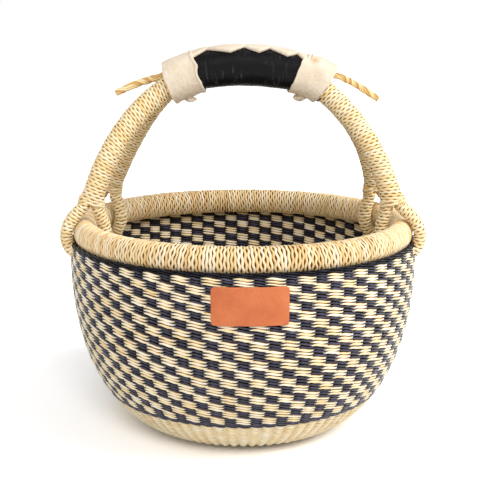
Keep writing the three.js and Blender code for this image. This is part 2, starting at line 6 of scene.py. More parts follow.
import bpy
import numpy as np
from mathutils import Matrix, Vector


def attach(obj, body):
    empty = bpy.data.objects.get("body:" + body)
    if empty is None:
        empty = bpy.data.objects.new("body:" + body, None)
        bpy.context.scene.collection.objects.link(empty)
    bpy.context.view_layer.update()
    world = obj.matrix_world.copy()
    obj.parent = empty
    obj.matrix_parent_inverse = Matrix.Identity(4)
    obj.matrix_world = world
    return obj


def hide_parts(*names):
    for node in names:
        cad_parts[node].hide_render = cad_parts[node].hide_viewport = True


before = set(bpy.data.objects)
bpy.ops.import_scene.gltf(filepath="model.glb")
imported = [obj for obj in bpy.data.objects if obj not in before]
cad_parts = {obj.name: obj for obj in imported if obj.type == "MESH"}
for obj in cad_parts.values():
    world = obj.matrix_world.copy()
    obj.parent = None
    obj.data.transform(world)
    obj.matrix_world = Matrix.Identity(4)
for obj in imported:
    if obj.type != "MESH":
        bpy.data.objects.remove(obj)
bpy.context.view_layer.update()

MM = 0.001
TURN = 2 * math.pi

# Bowl, in the frame's own sizes
RIM_HEIGHT = 151.4 * MM
RIM_RADIUS = 121.2 * MM
RIM_HALF_WIDTH = 8.8 * MM
RIM_HALF_HEIGHT = 10.4 * MM
WALL = 5 * MM
BELLY_RADIUS = 133 * MM
BELLY_DROP = 22.4 * MM
BELLY_PULL = 85.6 * MM
LIP_RADIUS = 131.9 * MM
LIP_DROP = 5.1 * MM
LIP_PULL = 6 * MM
FOOT_RADIUS = 65 * MM
FOOT_PULL = 29.5 * MM
SEAT = 0.3 * MM  # between two pieces that lie on each other

# Weave
STAKES = 78
CHECK_ROWS = 17
CHECK_BANDS = dict(upper=range(0, 6), middle=range(6, 12), lower=range(12, CHECK_ROWS))
LINES_PER_CHECK = 3  # twined lines in one row of checks
CHECK_HEIGHT = 6.7 * MM
TIGHT_SHARE = 0.1
SWELL_SHARE = 0.06
UPPER_BORDER = 3.4 * MM
LOWER_BORDER = 4 * MM
BORDER_LINES = 2
BASE_LINE_PITCH = 2.1 * MM
BASE_END_GAP = 2.5 * MM  # left open in the middle of the base
STAKES_END_GAP = 1 * MM
BASE_INNER_RADIUS = 34 * MM  # inside it the lines pass over the stakes in threes
BASE_MIDDLE_RADIUS = 14 * MM
BASE_MIDDLE_STAKES = 10

# Handle
BUNDLE_RADIUS = 8.2 * MM
BUNDLE_SPACING = 17 * MM
GRIP_RISE = 122.3 * MM
GRIP_REACH = 67 * MM
GRIP_SAG = 20.8 * MM
GRIP_PULL = 18 * MM
LEG_SINK = 3 * MM
LEG_FOOT_LEAN = math.radians(14)
LEG_FOOT_PULL = 48 * MM
RUN_ON = 9.6 * MM  # how far a leg's shape runs on past each end of its line
FOOT_REACH_SHARE = 0.14  # share of a leg's line over which it changes toward its foot
FOOT_FLARE_SHARE = 0.67
FOOT_PINCH_SHARE = 0.33

# The two bundles, and the two hands of the handle. Each has its part in the seed of its windings.
FRONT = dict(place="front", y=-BUNDLE_SPACING / 2, foot_angle=math.radians(14), foot_turn=0,
             shift=0, seed=20)
BACK = dict(place="back", y=BUNDLE_SPACING / 2, foot_angle=math.radians(21), foot_turn=math.radians(9),
            shift=6.5 * MM, seed=10)
LEFT = dict(hand="left", side=-1, reach=52 * MM, top_pull=24 * MM, lean=math.radians(12), seed=180)
RIGHT = dict(hand="right", side=1, reach=58 * MM, top_pull=19 * MM, lean=math.radians(15.5), seed=190)

# Foot loops
STRAND_HALF_WIDTH = 6.2 * MM
STRAND_HALF_THICKNESS = 5 * MM
LOOP_RISE = 12.1 * MM
LOOP_SLACK = 0.6 * MM
LOOP_END_PULL = 5 * MM
LOOP_RUN_IN = 5 * MM  # how far its two ends reach up into the leg
ROUND_SHARE = 0.55
PASS_GAP = 0.5 * MM

# Grip
GRIP_HALF_WIDTH = 18.4 * MM
GRIP_HALF_HEIGHT = 14.3 * MM
GRIP_END_HALF_HEIGHT = 12.9 * MM
GRIP_EVEN_REACH = 18 * MM
GRIP_END_REACH = 56 * MM
GRIP_ROUNDNESS = 2.6
CORE_GAP = 0.9 * MM
SLEEVE = 1.4 * MM
SLIT_HALF_WIDTH = 3 * MM
CUFF = 1.1 * MM
CUFF_GAP = 0.7 * MM

# A cuff's edges, how loose it is above and below, and its tied end. Hem is the width of the fold along
# its inner edge, tear is how deep that edge is torn half way down the front, and dent is how high the
# leather stands up beside its hollow.
LEFT_CUFF = dict(hand="left", side=-1, start=33.1 * MM, start_lean=1.9 * MM, end=58.8 * MM,
                 end_lean=-3.3 * MM, top_slack=0.2 * MM, low_slack=2.7 * MM, seed=11,
                 hem=2.6 * MM, tear=1.1 * MM, dent=0,
                 nub_size=(8 * MM, 6 * MM, 3.6 * MM), nub_shift=-1 * MM, nub_seed=70)
RIGHT_CUFF = dict(hand="right", side=1, start=39.7 * MM, start_lean=2.3 * MM, end=64 * MM, end_lean=-1 * MM,
                  top_slack=3 * MM, low_slack=0, seed=23, hem=0, tear=0, dent=3.4 * MM,
                  nub_size=(9 * MM, 7 * MM, 5 * MM), nub_shift=-1.5 * MM, nub_seed=74)
NUB_START_SHARE = 0.45

# Lace
LACE_PLACES = [place * MM for place in (-34.6, -24.8, 0.4, 18, 36.8, 43.2)]  # where its stitches meet
LACE_PEAK_SHARES = (0.001, 0.62, 0.6, 0.66, 0.999)  # where along it each stitch reaches lowest
LACE_DROPS = (0.45 * MM, 4 * MM)  # how low its edge lies at a join, and in a stitch
LACE = 1.4 * MM
LACE_BULGE = 0.35 * MM
LACE_LAYER = 0.5 * MM  # how much higher a stitch lies where it covers the next
LACE_OVERLAP_SHARE = 0.05

# Cord tails. A route runs from the cuff outward, twist is the length of a full twist, and swell is how
# much thicker the cord is half way.
TAIL_DIAMETER = 5.4 * MM
LEFT_TAIL = dict(hand="left", twist=21 * MM, swell=0.14, tint=0.7, route=[
    (-53.4, 0, 270.4), (-61.2, -0.5, 266.5), (-68.1, -1.5, 264.7), (-75.3, -3, 262.6), (-83.8, -4.5, 259.6),
    (-91.5, -6, 255.9), (-95.4, -7, 254.1),
])
RIGHT_TAIL = dict(hand="right", twist=14 * MM, swell=0, tint=0.4, route=[
    (62, -3.5, 270), (67.2, -3.5, 267.9), (72.8, -3.5, 266.2), (78.2, -4, 263.7), (85.4, -5, 260),
    (92.6, -6, 255.5), (98.9, -7, 251.3), (101.6, -7, 250),
])

# Label
PATCH_WIDTH = 51 * MM
PATCH_HEIGHT = 26 * MM
PATCH = 1.5 * MM
PATCH_CORNER = 2.5 * MM
PATCH_SHIFT = 4.3 * MM
PATCH_DROP = 27.1 * MM

# Camera
CAMERA_PLACE = (-2.3 * MM, -720.5 * MM, 292.3 * MM)
CAMERA_PITCH = math.radians(11.9)
CAMERA_LENS = 70.75
FILM_WIDTH = 36


def add_object(name, data, place=(0, 0, 0)):
    made = bpy.data.objects.new(name, data)
    made.location = place
    bpy.context.scene.collection.objects.link(made)
    return made


def make_camera():
    data = bpy.data.cameras.new("camera")
    data.lens = CAMERA_LENS
    data.sensor_width = FILM_WIDTH
    camera = add_object("camera", data, CAMERA_PLACE)
    camera.rotation_euler = (math.pi / 2 - CAMERA_PITCH, 0, 0)
    bpy.context.scene.camera = camera


# Meshes

def mesh_piece(name, node, slot, material, points, quads, fibre=None, tone=0.5, tops=()):
    """One mesh that stands for a node, from arrays of points and four-cornered faces.

    Tops are its many-cornered faces. Fibre is where each point lies in its own strand or hide, or else the
    point itself, and tone is its tint from 0 to 1."""
    mesh = bpy.data.meshes.new(name)
    points = np.asarray(points, np.float32).reshape(-1, 3)
    quads = np.asarray(quads, np.int32).reshape(-1, 4)
    corners = np.concatenate([quads.ravel(), *tops]).astype(np.int32)
    sizes = np.array([4] * len(quads) + [len(top) for top in tops], np.int32)
    mesh.vertices.add(len(points))
    mesh.vertices.foreach_set("co", points.ravel())
    mesh.loops.add(len(corners))
    mesh.loops.foreach_set("vertex_index", corners)
    mesh.polygons.add(len(sizes))
    mesh.polygons.foreach_set("loop_start", (np.cumsum(sizes) - sizes).astype(np.int32))
    mesh.polygons.foreach_set("use_smooth", np.full(len(sizes), True))
    mesh.update(calc_edges=True)
    fibre = points if fibre is None else np.asarray(fibre, np.float32)
    layer = mesh.attributes.new("fibre", "FLOAT_VECTOR", "POINT")
    layer.data.foreach_set("vector", fibre.ravel())
    layer = mesh.attributes.new("tone", "FLOAT", "POINT")
    layer.data.foreach_set("value", np.full(len(points), np.ravel(tone), np.float32))
    mesh.materials.append(material)
    piece = add_object(name, mesh)
    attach(piece, "root")
    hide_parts(node)
    return piece


def grid_quads(rows, columns, close_rows, close_columns, first=0):
    """Faces of a grid of points, row by row. It may close on itself either way."""
    row = np.arange(rows if close_rows else rows - 1)
    column = np.arange(columns if close_columns else columns - 1)
    row, column = np.meshgrid(row, column, indexing="ij")
    next_row = (row + 1) % rows
    next_column = (column + 1) % columns
    quads = np.stack([
        row * columns + column,
        row * columns + next_column,
        next_row * columns + next_column,
        next_row * columns + column,
    ], axis=-1)
    return quads.reshape(-1, 4) + first


def tube_faces(rings, sides, closed=False, first=0):
    """Faces of a tube made of rings of points, and the two many-cornered ones at its ends."""
    start = list(range(first, first + sides))
    last = first + (rings - 1) * sides
    ends = [] if closed else [start[::-1], list(range(last, last + sides))]
    return grid_quads(rings, sides, closed, True, first), ends


def vectors(*parts):
    """One array of vectors from arrays of their parts."""
    return np.stack(np.broadcast_arrays(*parts), axis=-1)


def unit(vector):
    return vector / np.linalg.norm(vector, axis=-1, keepdims=True)


def distances(points):
    """How far along a line each of its points lies."""
    return np.concatenate([[0], np.cumsum(np.linalg.norm(np.diff(points, axis=0), axis=1))])


def full_turn(count):
    """Angles that share a full turn evenly."""
    return TURN * np.arange(count) / count


def noise_along(steps, count, seed):
    """Smooth random values from -1 to 1 in a ring of steps, with a new value about every count steps."""
    values = np.random.default_rng(seed).uniform(-1, 1, max(2, steps // count))
    place = np.arange(steps) * len(values) / steps
    low = np.floor(place).astype(int)
    share = smooth_share(place - low, 0, 1)
    return values[low % len(values)] * (1 - share) + values[(low + 1) % len(values)] * share


def smooth_share(value, low, high):
    """How far a value has come from low to high, from 0 to 1, with a soft start and end."""
    share = np.clip((value - low) / (high - low), 0, 1)
    return share * share * (3 - 2 * share)


def bump_at(value, middle, reach):
    """A smooth bump of 1 at the middle, gone at the reach to each side."""
    return 1 - smooth_share(np.abs(value - middle), 0, reach)


# The wall

def bezier(corners, shares):
    a, b, c, d = [np.asarray(corner, float) for corner in corners]
    t = shares[:, None]
    return a * (1 - t) ** 3 + 3 * b * t * (1 - t) ** 2 + 3 * c * t ** 2 * (1 - t) + d * t ** 3


def make_wall_line():
    """The outside of the wall as radius and height, from its top edge down and in under the foot."""
    shares = np.linspace(0, 1, 500)
    lip = RIM_HEIGHT - LIP_DROP
    belly = RIM_HEIGHT - BELLY_DROP
    widest = (BELLY_RADIUS, belly)
    top = bezier([
        (LIP_RADIUS, lip), (BELLY_RADIUS, lip - LIP_PULL), (BELLY_RADIUS, belly + LIP_PULL), widest,
    ], shares)
    side = bezier([
        widest, (BELLY_RADIUS, belly - BELLY_PULL), (FOOT_RADIUS + FOOT_PULL, 0), (FOOT_RADIUS, 0),
    ], shares)
    foot = np.linspace((FOOT_RADIUS, 0), (0, 0), 200)
    line = np.concatenate([top, side[1:], foot[1:]])
    along = distances(line)
    return along, line, unit(np.gradient(line, along, axis=0))


WALL_ALONG, WALL_LINE, WALL_RUN = make_wall_line()
CHECKS_LENGTH = CHECK_ROWS * CHECK_HEIGHT
LOWER_START = UPPER_BORDER + CHECKS_LENGTH
BASE_START = LOWER_START + LOWER_BORDER


def wall_points(along, depth, angle):
    """Points of the wall. Along is measured down its outside, depth inward, and angle 0 is the front."""
    radius, height = [np.interp(along, WALL_ALONG, values) for values in WALL_LINE.T]
    run_out, run_up = [np.interp(along, WALL_ALONG, values) for values in WALL_RUN.T]
    radius = radius + run_up * depth
    height = height - run_out * depth
    return vectors(radius * np.sin(angle), -radius * np.cos(angle), height)


def check_row_start(row):
    share = row / CHECK_ROWS
    swell = SWELL_SHARE * np.sin(TURN * share) / TURN
    return UPPER_BORDER + CHECKS_LENGTH * (share * (1 - TIGHT_SHARE * (1 - share)) - swell)


# Twining

STITCH_SWING = 1.45 * MM  # how far a strand swings out and in round the stakes
STITCH_SLANT_SHARE = 0.27  # how far its ends lie above and below its middle, as a share of a line
STITCH_THICKNESS = 0.95 * MM
STITCH_WANDER = 0.26 * MM
CROSSING_DEPTH = 1.25 * MM  # how much deeper a strand is where it goes from outside to inside
CROSSING_PLACE = (0.42, 0.76)  # where it does that, from one stake to the next
OUTER_TIP = 0.76  # how far a stitch's tip reaches past the stake's middle, in stakes
INNER_TIP = 0.66
OUTER_TAPER = 1.4  # the lower, the more pointed
INNER_TAPER = 2.2
TIP_SHARE = 0.12  # height of a tip, as a share of the stitch's own
STITCH_HALF_SHARE = 0.51  # half the height of a stitch, as a share of a line
TIP_DEPTH_SHARE = 0.55  # thickness of a tip, as a share of the stitch's own
STREAK_SHIFTS = (370, 7)  # how far the streaks shift from line to line, for each metre down the wall
FALL_PLACE = 0.36  # where a stitch has come down all the way, and where it turns back
FALL_END = 0.62
UNEVEN_HEIGHT = 0.2  # how much its height and depth differ from stitch to stitch
UNEVEN_DEPTH = 0.12
FULLNESS = dict(natural=1.08, dyed=0.95)
STAKE_THIN = 0.25 * MM  # half the thickness of a stake's edges, and how much more its middle has
STAKE_SWELL = 0.65 * MM
BASE_SWING = 1.5 * MM
BASE_SLANT_SHARE = 0.2
BASE_TIP_SHARE = 0.6


def twined_lines(lines, stakes, phases, pitches, seed, samples=8, sides=6, swing_depth=STITCH_SWING,
                 slant=STITCH_SLANT_SHARE, tip=TIP_SHARE, place_in=CROSSING_PLACE, fat=1.0,
                 crossing=CROSSING_DEPTH):
    """Strands that pass outside one stake and inside the next, each closed round the basket.

    Line is how far down the wall each one lies, phase says which stakes it passes outside, and pitch is
    the distance to the next line. Place in is where between two stakes it goes in, and fat is how full
    its stitches are."""
    lines = np.asarray(lines, float)[:, None, None]
    phases = np.asarray(phases)[:, None, None]
    pitches = np.asarray(pitches, float)[:, None, None]
    count = len(lines)
    steps = stakes * samples
    place = (np.arange(steps) / samples)[None, :, None]
    corner = full_turn(sides)
    random = np.random.default_rng(seed)
    stake = np.round(place).astype(int) % stakes
    rows = np.arange(count)[:, None, None]
    wander, plump, lean = random.uniform(-1, 1, (3, count, stakes))[:, rows, stake]
    tint = random.uniform(0, 1, (count, stakes))[rows, stake]
    past = np.mod(place + phases + 1, 2) - 1
    reach = np.abs(past)
    swing = 1 - 2 * smooth_share(reach, *place_in)
    outer = 1 - (reach / (OUTER_TIP * fat)) ** OUTER_TAPER
    inner = 1 - ((1 - reach) / INNER_TIP) ** INNER_TAPER
    full = np.maximum(np.maximum(outer, inner), tip)
    own = np.abs(np.cos(math.pi * past))
    fall = np.sin(math.pi / 2 * np.clip(reach / FALL_PLACE, 0, 1)) * (1 - smooth_share(reach, FALL_END, 1))
    drop = slant * fall * np.sign(past)
    half_height = pitches * STITCH_HALF_SHARE * fat * full * (1 + UNEVEN_HEIGHT * plump * own)
    half_depth = STITCH_THICKNESS * (TIP_DEPTH_SHARE + (1 - TIP_DEPTH_SHARE) * full)
    half_depth = half_depth * (1 + UNEVEN_DEPTH * lean * own)
    half_depth = half_depth + crossing * (1 - swing ** 2)
    along = lines + pitches * drop + STITCH_WANDER * wander * own
    depth = WALL / 2 - swing_depth * swing
    along = along + half_height * np.cos(corner)
    depth = depth - half_depth * np.sin(corner)
    angle = TURN * place / stakes
    points = wall_points(along, depth, angle)
    radius = np.interp(lines, WALL_ALONG, WALL_LINE[:, 0])
    fibre = vectors(
        radius * angle + STREAK_SHIFTS[0] * lines,
        half_height * np.cos(corner) + STREAK_SHIFTS[1] * lines,
        half_depth * np.sin(corner),
    )
    tone = np.broadcast_to(tint, fibre.shape[:-1])
    size = steps * sides
    quads = np.concatenate([grid_quads(steps, sides, True, True, size * line) for line in range(count)])
    return points, quads, fibre, tone


def make_checks(natural, dyed):
    """The wall of checks: in each row a plain and a dyed strand twine round each other over the stakes."""
    for band, rows in CHECK_BANDS.items():
        for colour, material, offset in (("natural", natural, 0), ("dyed", dyed, 1)):
            row, line = np.divmod(np.arange(len(rows) * LINES_PER_CHECK), LINES_PER_CHECK)
            row = row + rows[0]
            pitches = (check_row_start(row + 1) - check_row_start(row)) / LINES_PER_CHECK
            lines = check_row_start(row) + (line + 0.5) * pitches
            seed = 10 * offset + rows[0]
            strands = twined_lines(lines, STAKES, (row + offset) % 2, pitches, seed, fat=FULLNESS[colour])
            mesh_piece(f"checks_{colour}_{band}", "check_wall", "check_weave", material, *strands)


def twined_pairs(lines, stakes, pitch, seed, **shape):
    """Lines of two strands each, which twine round each other."""
    phases = np.tile([0, 1], len(lines))
    return twined_lines(np.repeat(lines, 2), stakes, phases, [pitch] * len(phases), seed, **shape)


def make_border(node, start, height, material, seed):
    pitch = height / BORDER_LINES
    lines = [start + (line + 0.5) * pitch for line in range(BORDER_LINES)]
    mesh_piece(f"{node}_lines", node, "dyed_grass", material, *twined_pairs(lines, STAKES, pitch, seed))


def make_base(material):
    """The natural base. Toward its middle the lines pass over fewer stakes, each made of several."""
    end = WALL_ALONG[-1] - BASE_END_GAP
    count = round((end - BASE_START) / BASE_LINE_PITCH)
    pitch = (end - BASE_START) / count
    lines = BASE_START + (np.arange(count) + 0.5) * pitch
    radii = np.interp(lines, WALL_ALONG, WALL_LINE[:, 0])
    side = lines < WALL_ALONG[-1] - FOOT_RADIUS
    bands = [
        ("side", side, STAKES),
        ("foot", ~side & (radii > BASE_INNER_RADIUS), STAKES),
        ("inner", (radii <= BASE_INNER_RADIUS) & (radii > BASE_MIDDLE_RADIUS), STAKES // 3),
        ("middle", radii <= BASE_MIDDLE_RADIUS, BASE_MIDDLE_STAKES),
    ]
    for seed, (band, chosen, stakes) in enumerate(bands):
        strands = twined_pairs(
            lines[chosen], stakes, pitch, 40 + seed, samples=4, sides=6 if band == "side" else 4,
            swing_depth=BASE_SWING, slant=BASE_SLANT_SHARE, tip=BASE_TIP_SHARE, place_in=(0, 1), crossing=0)
        node = "base_start" if band == "middle" else "base_weave"
        mesh_piece(f"base_lines_{band}", node, "plain_grass", material, *strands)


def make_stakes(material):
    """The stakes inside the weave, thick at each column and thin between two."""
    columns = STAKES * 4
    rows = 120
    along = np.linspace(STAKES_END_GAP, WALL_ALONG[-1] - STAKES_END_GAP, rows)[:, None]
    place = np.arange(columns) / 4
    half = STAKE_THIN + STAKE_SWELL * np.cos(math.pi * place) ** 2
    angle = TURN * place / STAKES
    outer = wall_points(along, WALL / 2 - half, angle)
    inner = wall_points(along, WALL / 2 + half, angle)[::-1]
    points = np.concatenate([outer, inner])
    fibre = np.concatenate([points[..., 2:], points[..., :2]], axis=-1)
    quads = grid_quads(2 * rows, columns, True, True)
    mesh_piece("stakes", "check_wall", "plain_grass", material, points, quads, fibre)


# Winding

# A strand is wound round a line in turns that touch and part again, so narrow slits show. Waves is how
# often in a turn it wanders from side to side, by the wobble, and slit is how much of its width it loses
# where it turns back. Tilt is how far the turns lean along the line, seen from the facing angle, and sway
# is how much that differs from stretch to stretch.
RIM_WINDING = dict(pitch=2.2 * MM, waves=8.42, wobble=0.38 * MM, slit=0.12, tilt=0, sway=1.6 * MM,
                   thickness=1.1 * MM, per_turn=56)
LOOP_WINDING = dict(pitch=2.5 * MM, waves=5.42, wobble=0.34 * MM, slit=0, tilt=0, sway=0.7 * MM,
                    thickness=1.15 * MM, per_turn=39)
LEG_WINDING = dict(pitch=2.3 * MM, waves=8.42, wobble=0.34 * MM, slit=0, tilt=-1.7 * MM, sway=0.9 * MM,
                   thickness=0.95 * MM, per_turn=63)
STRAND_SIDES = 5
WAVE_DEPTHS = (0.85, 0.4)  # the middle of its wandering, and how much that differs
WAVE_DRIFT = 0.3  # how far its waves shift from turn to turn
WIDTH_CHANGE = 0.13
STRAND_LIFT = 0.18 * MM
SWAY_TURNS = 7  # how many turns lean alike
CORE_SINK = 1.5  # how deep the plain roll lies, in thicknesses of the strand
CORE_RINGS = 96
CORE_SIDES = 20


class Line:
    """A line through points, with a side and a rise direction at each place along it."""

    def __init__(self, points, reference, closed=False):
        self.closed = closed
        points = np.asarray(points, float)
        ring = np.vstack([points, points[:1]]) if closed else points
        self.along = distances(ring)
        self.length = self.along[-1]
        self.points = ring
        if closed:
            run = np.roll(points, -1, axis=0) - np.roll(points, 1, axis=0)
            run = np.vstack([run, run[:1]])
        else:
            run = np.gradient(points, self.along, axis=0)
        run = unit(run)
        self.side = unit(reference - run * (run @ reference)[:, None])
        self.rise = np.cross(run, self.side)

    def at(self, along):
        along = np.mod(along, self.length) if self.closed else along
        return [vectors(*(np.interp(along, self.along, values) for values in table.T))
                for table in (self.points, self.side, self.rise)]

    def ring_points(self, along, angle, radii, sink):
        """Points round the line, sunk into the outline whose half sizes radii gives at a place along it."""
        centre, side, rise = self.at(along)
        half_side, half_rise = radii(along)
        points = centre + side * ((half_side - sink) * np.cos(angle))[..., None]
        return points + rise * ((half_rise - sink) * np.sin(angle))[..., None]


def wound_strand(line, radii, facing, seed, pitch, waves, wobble, slit, tilt, sway, thickness, per_turn):
    """A strand wound round a line, whose outer half sizes along the side and the rise radii gives."""
    turns = round(line.length / pitch)
    pitch = line.length / turns
    steps = turns * per_turn
    count = steps if line.closed else steps + 1

    def noise(length, place):
        return noise_along(count, length, seed + place)[:, None]

    turn = (np.arange(count) / per_turn)[:, None]
    corner = np.linspace(0, math.pi, STRAND_SIDES)
    angle = TURN * turn
    waves = round(waves * turns) / turns
    depth = WAVE_DEPTHS[0] + WAVE_DEPTHS[1] * noise(per_turn // 3, 1)
    wave = depth * np.sin(TURN * (waves * turn + WAVE_DRIFT * noise(per_turn, 0)))
    width = 0.5 * pitch * (1 - slit * np.abs(wave)) * (1 + WIDTH_CHANGE * noise(per_turn // 2, 2))
    lean = (tilt + sway * noise(per_turn * SWAY_TURNS, 3)) * np.sin(angle - facing)
    along = pitch * turn + wobble * wave + lean
    if not line.closed:
        inside = np.clip(np.minimum(turn, turns - turn), 0, 1)
        along = along - lean * (1 - inside)
    along = along + width * np.cos(corner)
    if not line.closed:
        along = np.clip(along, 0, line.length)
    sink = thickness * (1 - np.sin(corner)) - STRAND_LIFT * noise(per_turn // 4, 4)
    points = line.ring_points(along, angle, radii, sink)
    radius = float(np.mean(radii(along)[0]))
    fibre = vectors(radius * angle, pitch * np.cos(corner) + 3 * pitch * turn, thickness * np.sin(corner))
    tint = np.random.default_rng(turns).uniform(0, 1, turns + 2)
    tone = np.broadcast_to(tint[np.floor(turn + 0.25).astype(int)], along.shape)
    quads, ends = tube_faces(count, STRAND_SIDES, line.closed)
    return points, quads, fibre, tone, ends


def make_winding(name, node, line, radii, materials, facing, seed, winding):
    """A strand and the plain roll that it is wound round, which together stand for a node."""
    strand = wound_strand(line, radii, facing, seed, **winding)
    mesh_piece(name, node, "wrapped_grass", materials[0], *strand)
    along = np.linspace(0, line.length, CORE_RINGS, endpoint=not line.closed)[:, None]
    points = line.ring_points(along, full_turn(CORE_SIDES), radii, CORE_SINK * winding["thickness"])
    quads, ends = tube_faces(CORE_RINGS, CORE_SIDES, line.closed)
    mesh_piece(f"{name}_core", node, "wrapped_grass", materials[1], points, quads, tops=ends)


def even_radii(half_side, half_rise):
    return lambda along: (np.full_like(along, half_side), np.full_like(along, half_rise))


def make_rim(materials):
    angle = full_turn(720)
    points = vectors(RIM_RADIUS * np.cos(angle), RIM_RADIUS * np.sin(angle), RIM_HEIGHT)
    radii = even_radii(RIM_HALF_HEIGHT, RIM_HALF_WIDTH)
    line = Line(points, (0, 0, 1), closed=True)
    make_winding("rim_winding", "rim", line, radii, materials,
                 facing=math.pi / 2, seed=5, winding=RIM_WINDING)


def loop_place(bearing, lean, across, rise):
    """Points of a foot loop's plane, outward and upward from the middle of the rim's roll."""
    radius = RIM_RADIUS + across * math.cos(lean) - rise * math.sin(lean)
    height = RIM_HEIGHT + across * math.sin(lean) + rise * math.cos(lean)
    return vectors(radius * math.cos(bearing), radius * math.sin(bearing), height)


def loop_points(bearing, lean):
    """Points of a foot loop: out of the leg, down outside the rim, under it, and up again inside it."""
    end_across = STRAND_HALF_THICKNESS + SEAT / 2
    end_rise = RIM_HALF_HEIGHT + LOOP_RISE
    half_width = RIM_HALF_WIDTH + STRAND_HALF_THICKNESS + PASS_GAP
    drop = RIM_HALF_HEIGHT + STRAND_HALF_THICKNESS + PASS_GAP + LOOP_SLACK
    across, rise = np.array([
        (end_across, end_rise + LOOP_RUN_IN),
        (end_across, end_rise),
        (end_across, end_rise - LOOP_END_PULL),
        (half_width, RIM_HALF_HEIGHT + PASS_GAP),
        (half_width, 0),
        (half_width, -ROUND_SHARE * drop),
        (ROUND_SHARE * half_width, -drop),
        (0, -drop),
    ]).T
    outside = loop_place(bearing, lean, across, rise)
    inside = loop_place(bearing, lean, -across, rise)[::-1]
    shares = np.linspace(0, 1, 60, endpoint=False)
    return np.concatenate([
        outside[:1], bezier(outside[1:5], shares), bezier(outside[4:], shares),
        bezier(inside[:4], shares), bezier(inside[3:7], shares), inside[6:],
    ])


def make_loop(place, bearing, hand, seed, materials):
    axis = (-math.sin(bearing), math.cos(bearing), 0)
    line = Line(loop_points(bearing, hand["lean"]), axis)
    radii = even_radii(STRAND_HALF_WIDTH, STRAND_HALF_THICKNESS)
    facing = math.pi if hand["side"] > 0 else 0
    names = f"loop_winding_{place}", f"foot_loop_{place}"
    make_winding(*names, line, radii, materials, facing, seed, LOOP_WINDING)


# The grip's line

GRIP_END_HEIGHT = RIM_HEIGHT + GRIP_RISE - GRIP_SAG
GRIP_CORNERS = [
    (-GRIP_REACH, 0, GRIP_END_HEIGHT),
    (-GRIP_REACH + GRIP_PULL, 0, GRIP_END_HEIGHT + GRIP_SAG * 4 / 3),
    (GRIP_REACH - GRIP_PULL, 0, GRIP_END_HEIGHT + GRIP_SAG * 4 / 3),
    (GRIP_REACH, 0, GRIP_END_HEIGHT),
]
GRIP_LINE = Line(bezier(GRIP_CORNERS, np.linspace(0, 1, 600)), (0, 1, 0))


def grip_section(distance):
    """The middle and the upward direction of the grip at a distance from its middle, to the right."""
    return GRIP_LINE.at(GRIP_LINE.length / 2 + distance)[::2]


def grip_points(distance, angle, outside):
    """Points on the grip. Angle 0 is its top, a quarter turn is its back, and outside is measured from
    the sleeve's outer face."""
    distance, angle, outside = np.broadcast_arrays(distance, angle, outside)
    centre, rise = grip_section(distance)
    power = 2 / GRIP_ROUNDNESS
    across = np.sign(np.sin(angle)) * np.abs(np.sin(angle)) ** power
    upward = np.sign(np.cos(angle)) * np.abs(np.cos(angle)) ** power
    share = smooth_share(np.abs(distance), GRIP_EVEN_REACH, GRIP_END_REACH)
    half_height = GRIP_HALF_HEIGHT + (GRIP_END_HALF_HEIGHT - GRIP_HALF_HEIGHT) * share
    points = centre + rise * (upward * (half_height + outside))[..., None]
    points[..., 1] += across * (GRIP_HALF_WIDTH + outside)
    return points


def make_leg(place, bearing, bundle, hand, seed, materials):
    foot = loop_place(bearing, hand["lean"], 0, RIM_HALF_HEIGHT + LOOP_RISE)
    side = hand["side"]
    reach = side * hand["reach"] + bundle["shift"]
    centre, up = grip_section(reach)
    outward = unit(grip_section(reach + side * 1 * MM)[0] - centre)
    top = centre - up * LEG_SINK
    top[1] = bundle["y"]
    lean = bundle["foot_turn"] - side * LEG_FOOT_LEAN
    direction = unit(vectors(math.sin(lean), math.sin(lean) * math.tan(bearing), math.cos(lean)))
    corners = [foot, foot + direction * LEG_FOOT_PULL, top + outward * hand["top_pull"], top]
    line = Line(bezier(corners, np.linspace(0, 1, 400)), (0, 1, 0))

    def radii(along):
        share = (RUN_ON + along) / (2 * RUN_ON + line.length)
        near_foot = np.clip(1 - share / FOOT_REACH_SHARE, 0, None)
        pinched = BUNDLE_RADIUS * (1 - FOOT_PINCH_SHARE * near_foot)
        return pinched, BUNDLE_RADIUS * (1 + FOOT_FLARE_SHARE * near_foot)

    make_winding(f"leg_winding_{place}", f"leg_{place}", line, radii, materials, math.pi, seed, LEG_WINDING)


def make_handle(materials):
    """The four legs, and the loops that hold them to the rim."""
    for bundle in (FRONT, BACK):
        for hand in (LEFT, RIGHT):
            across = hand["side"] * math.cos(bundle["foot_angle"])
            bearing = math.atan2(math.copysign(math.sin(bundle["foot_angle"]), bundle["y"]), across)
            place = f"{bundle['place']}_{hand['hand']}"
            seed = bundle["seed"] + hand["seed"]
            make_loop(place, bearing, hand, seed, materials)
            make_leg(place, bearing, bundle, hand, seed + 1, materials)


def make_core(bundle, side, material):
    """One of the two bundles inside the sleeve, flat where it meets the other."""
    rings, sides = 60, 40
    start = -LEFT["reach"] + bundle["shift"] + SEAT
    end = RIGHT["reach"] + bundle["shift"] - SEAT
    distance = np.linspace(start, end, rings)[:, None]
    points = grip_points(distance, full_turn(sides), -SLEEVE - CORE_GAP)
    points[..., 1] = side * np.maximum(side * points[..., 1], SEAT / 2)
    quads, ends = tube_faces(rings, sides)
    place = bundle["place"]
    mesh_piece(f"bundle_{place}", f"grip_core_{place}", "wrapped_grass", material, points, quads, tops=ends)


# Leather

SLEEVE_EDGE = 0.7 * MM  # over which its edge is rounded
CUFF_EDGE = 0.5 * MM
PATCH_EDGE = 0.6 * MM
PATCH_EDGE_SHARE = 0.55  # its thickness at the very edge
FRONT_ANGLE = 1.5 * math.pi  # the grip's side that faces the front

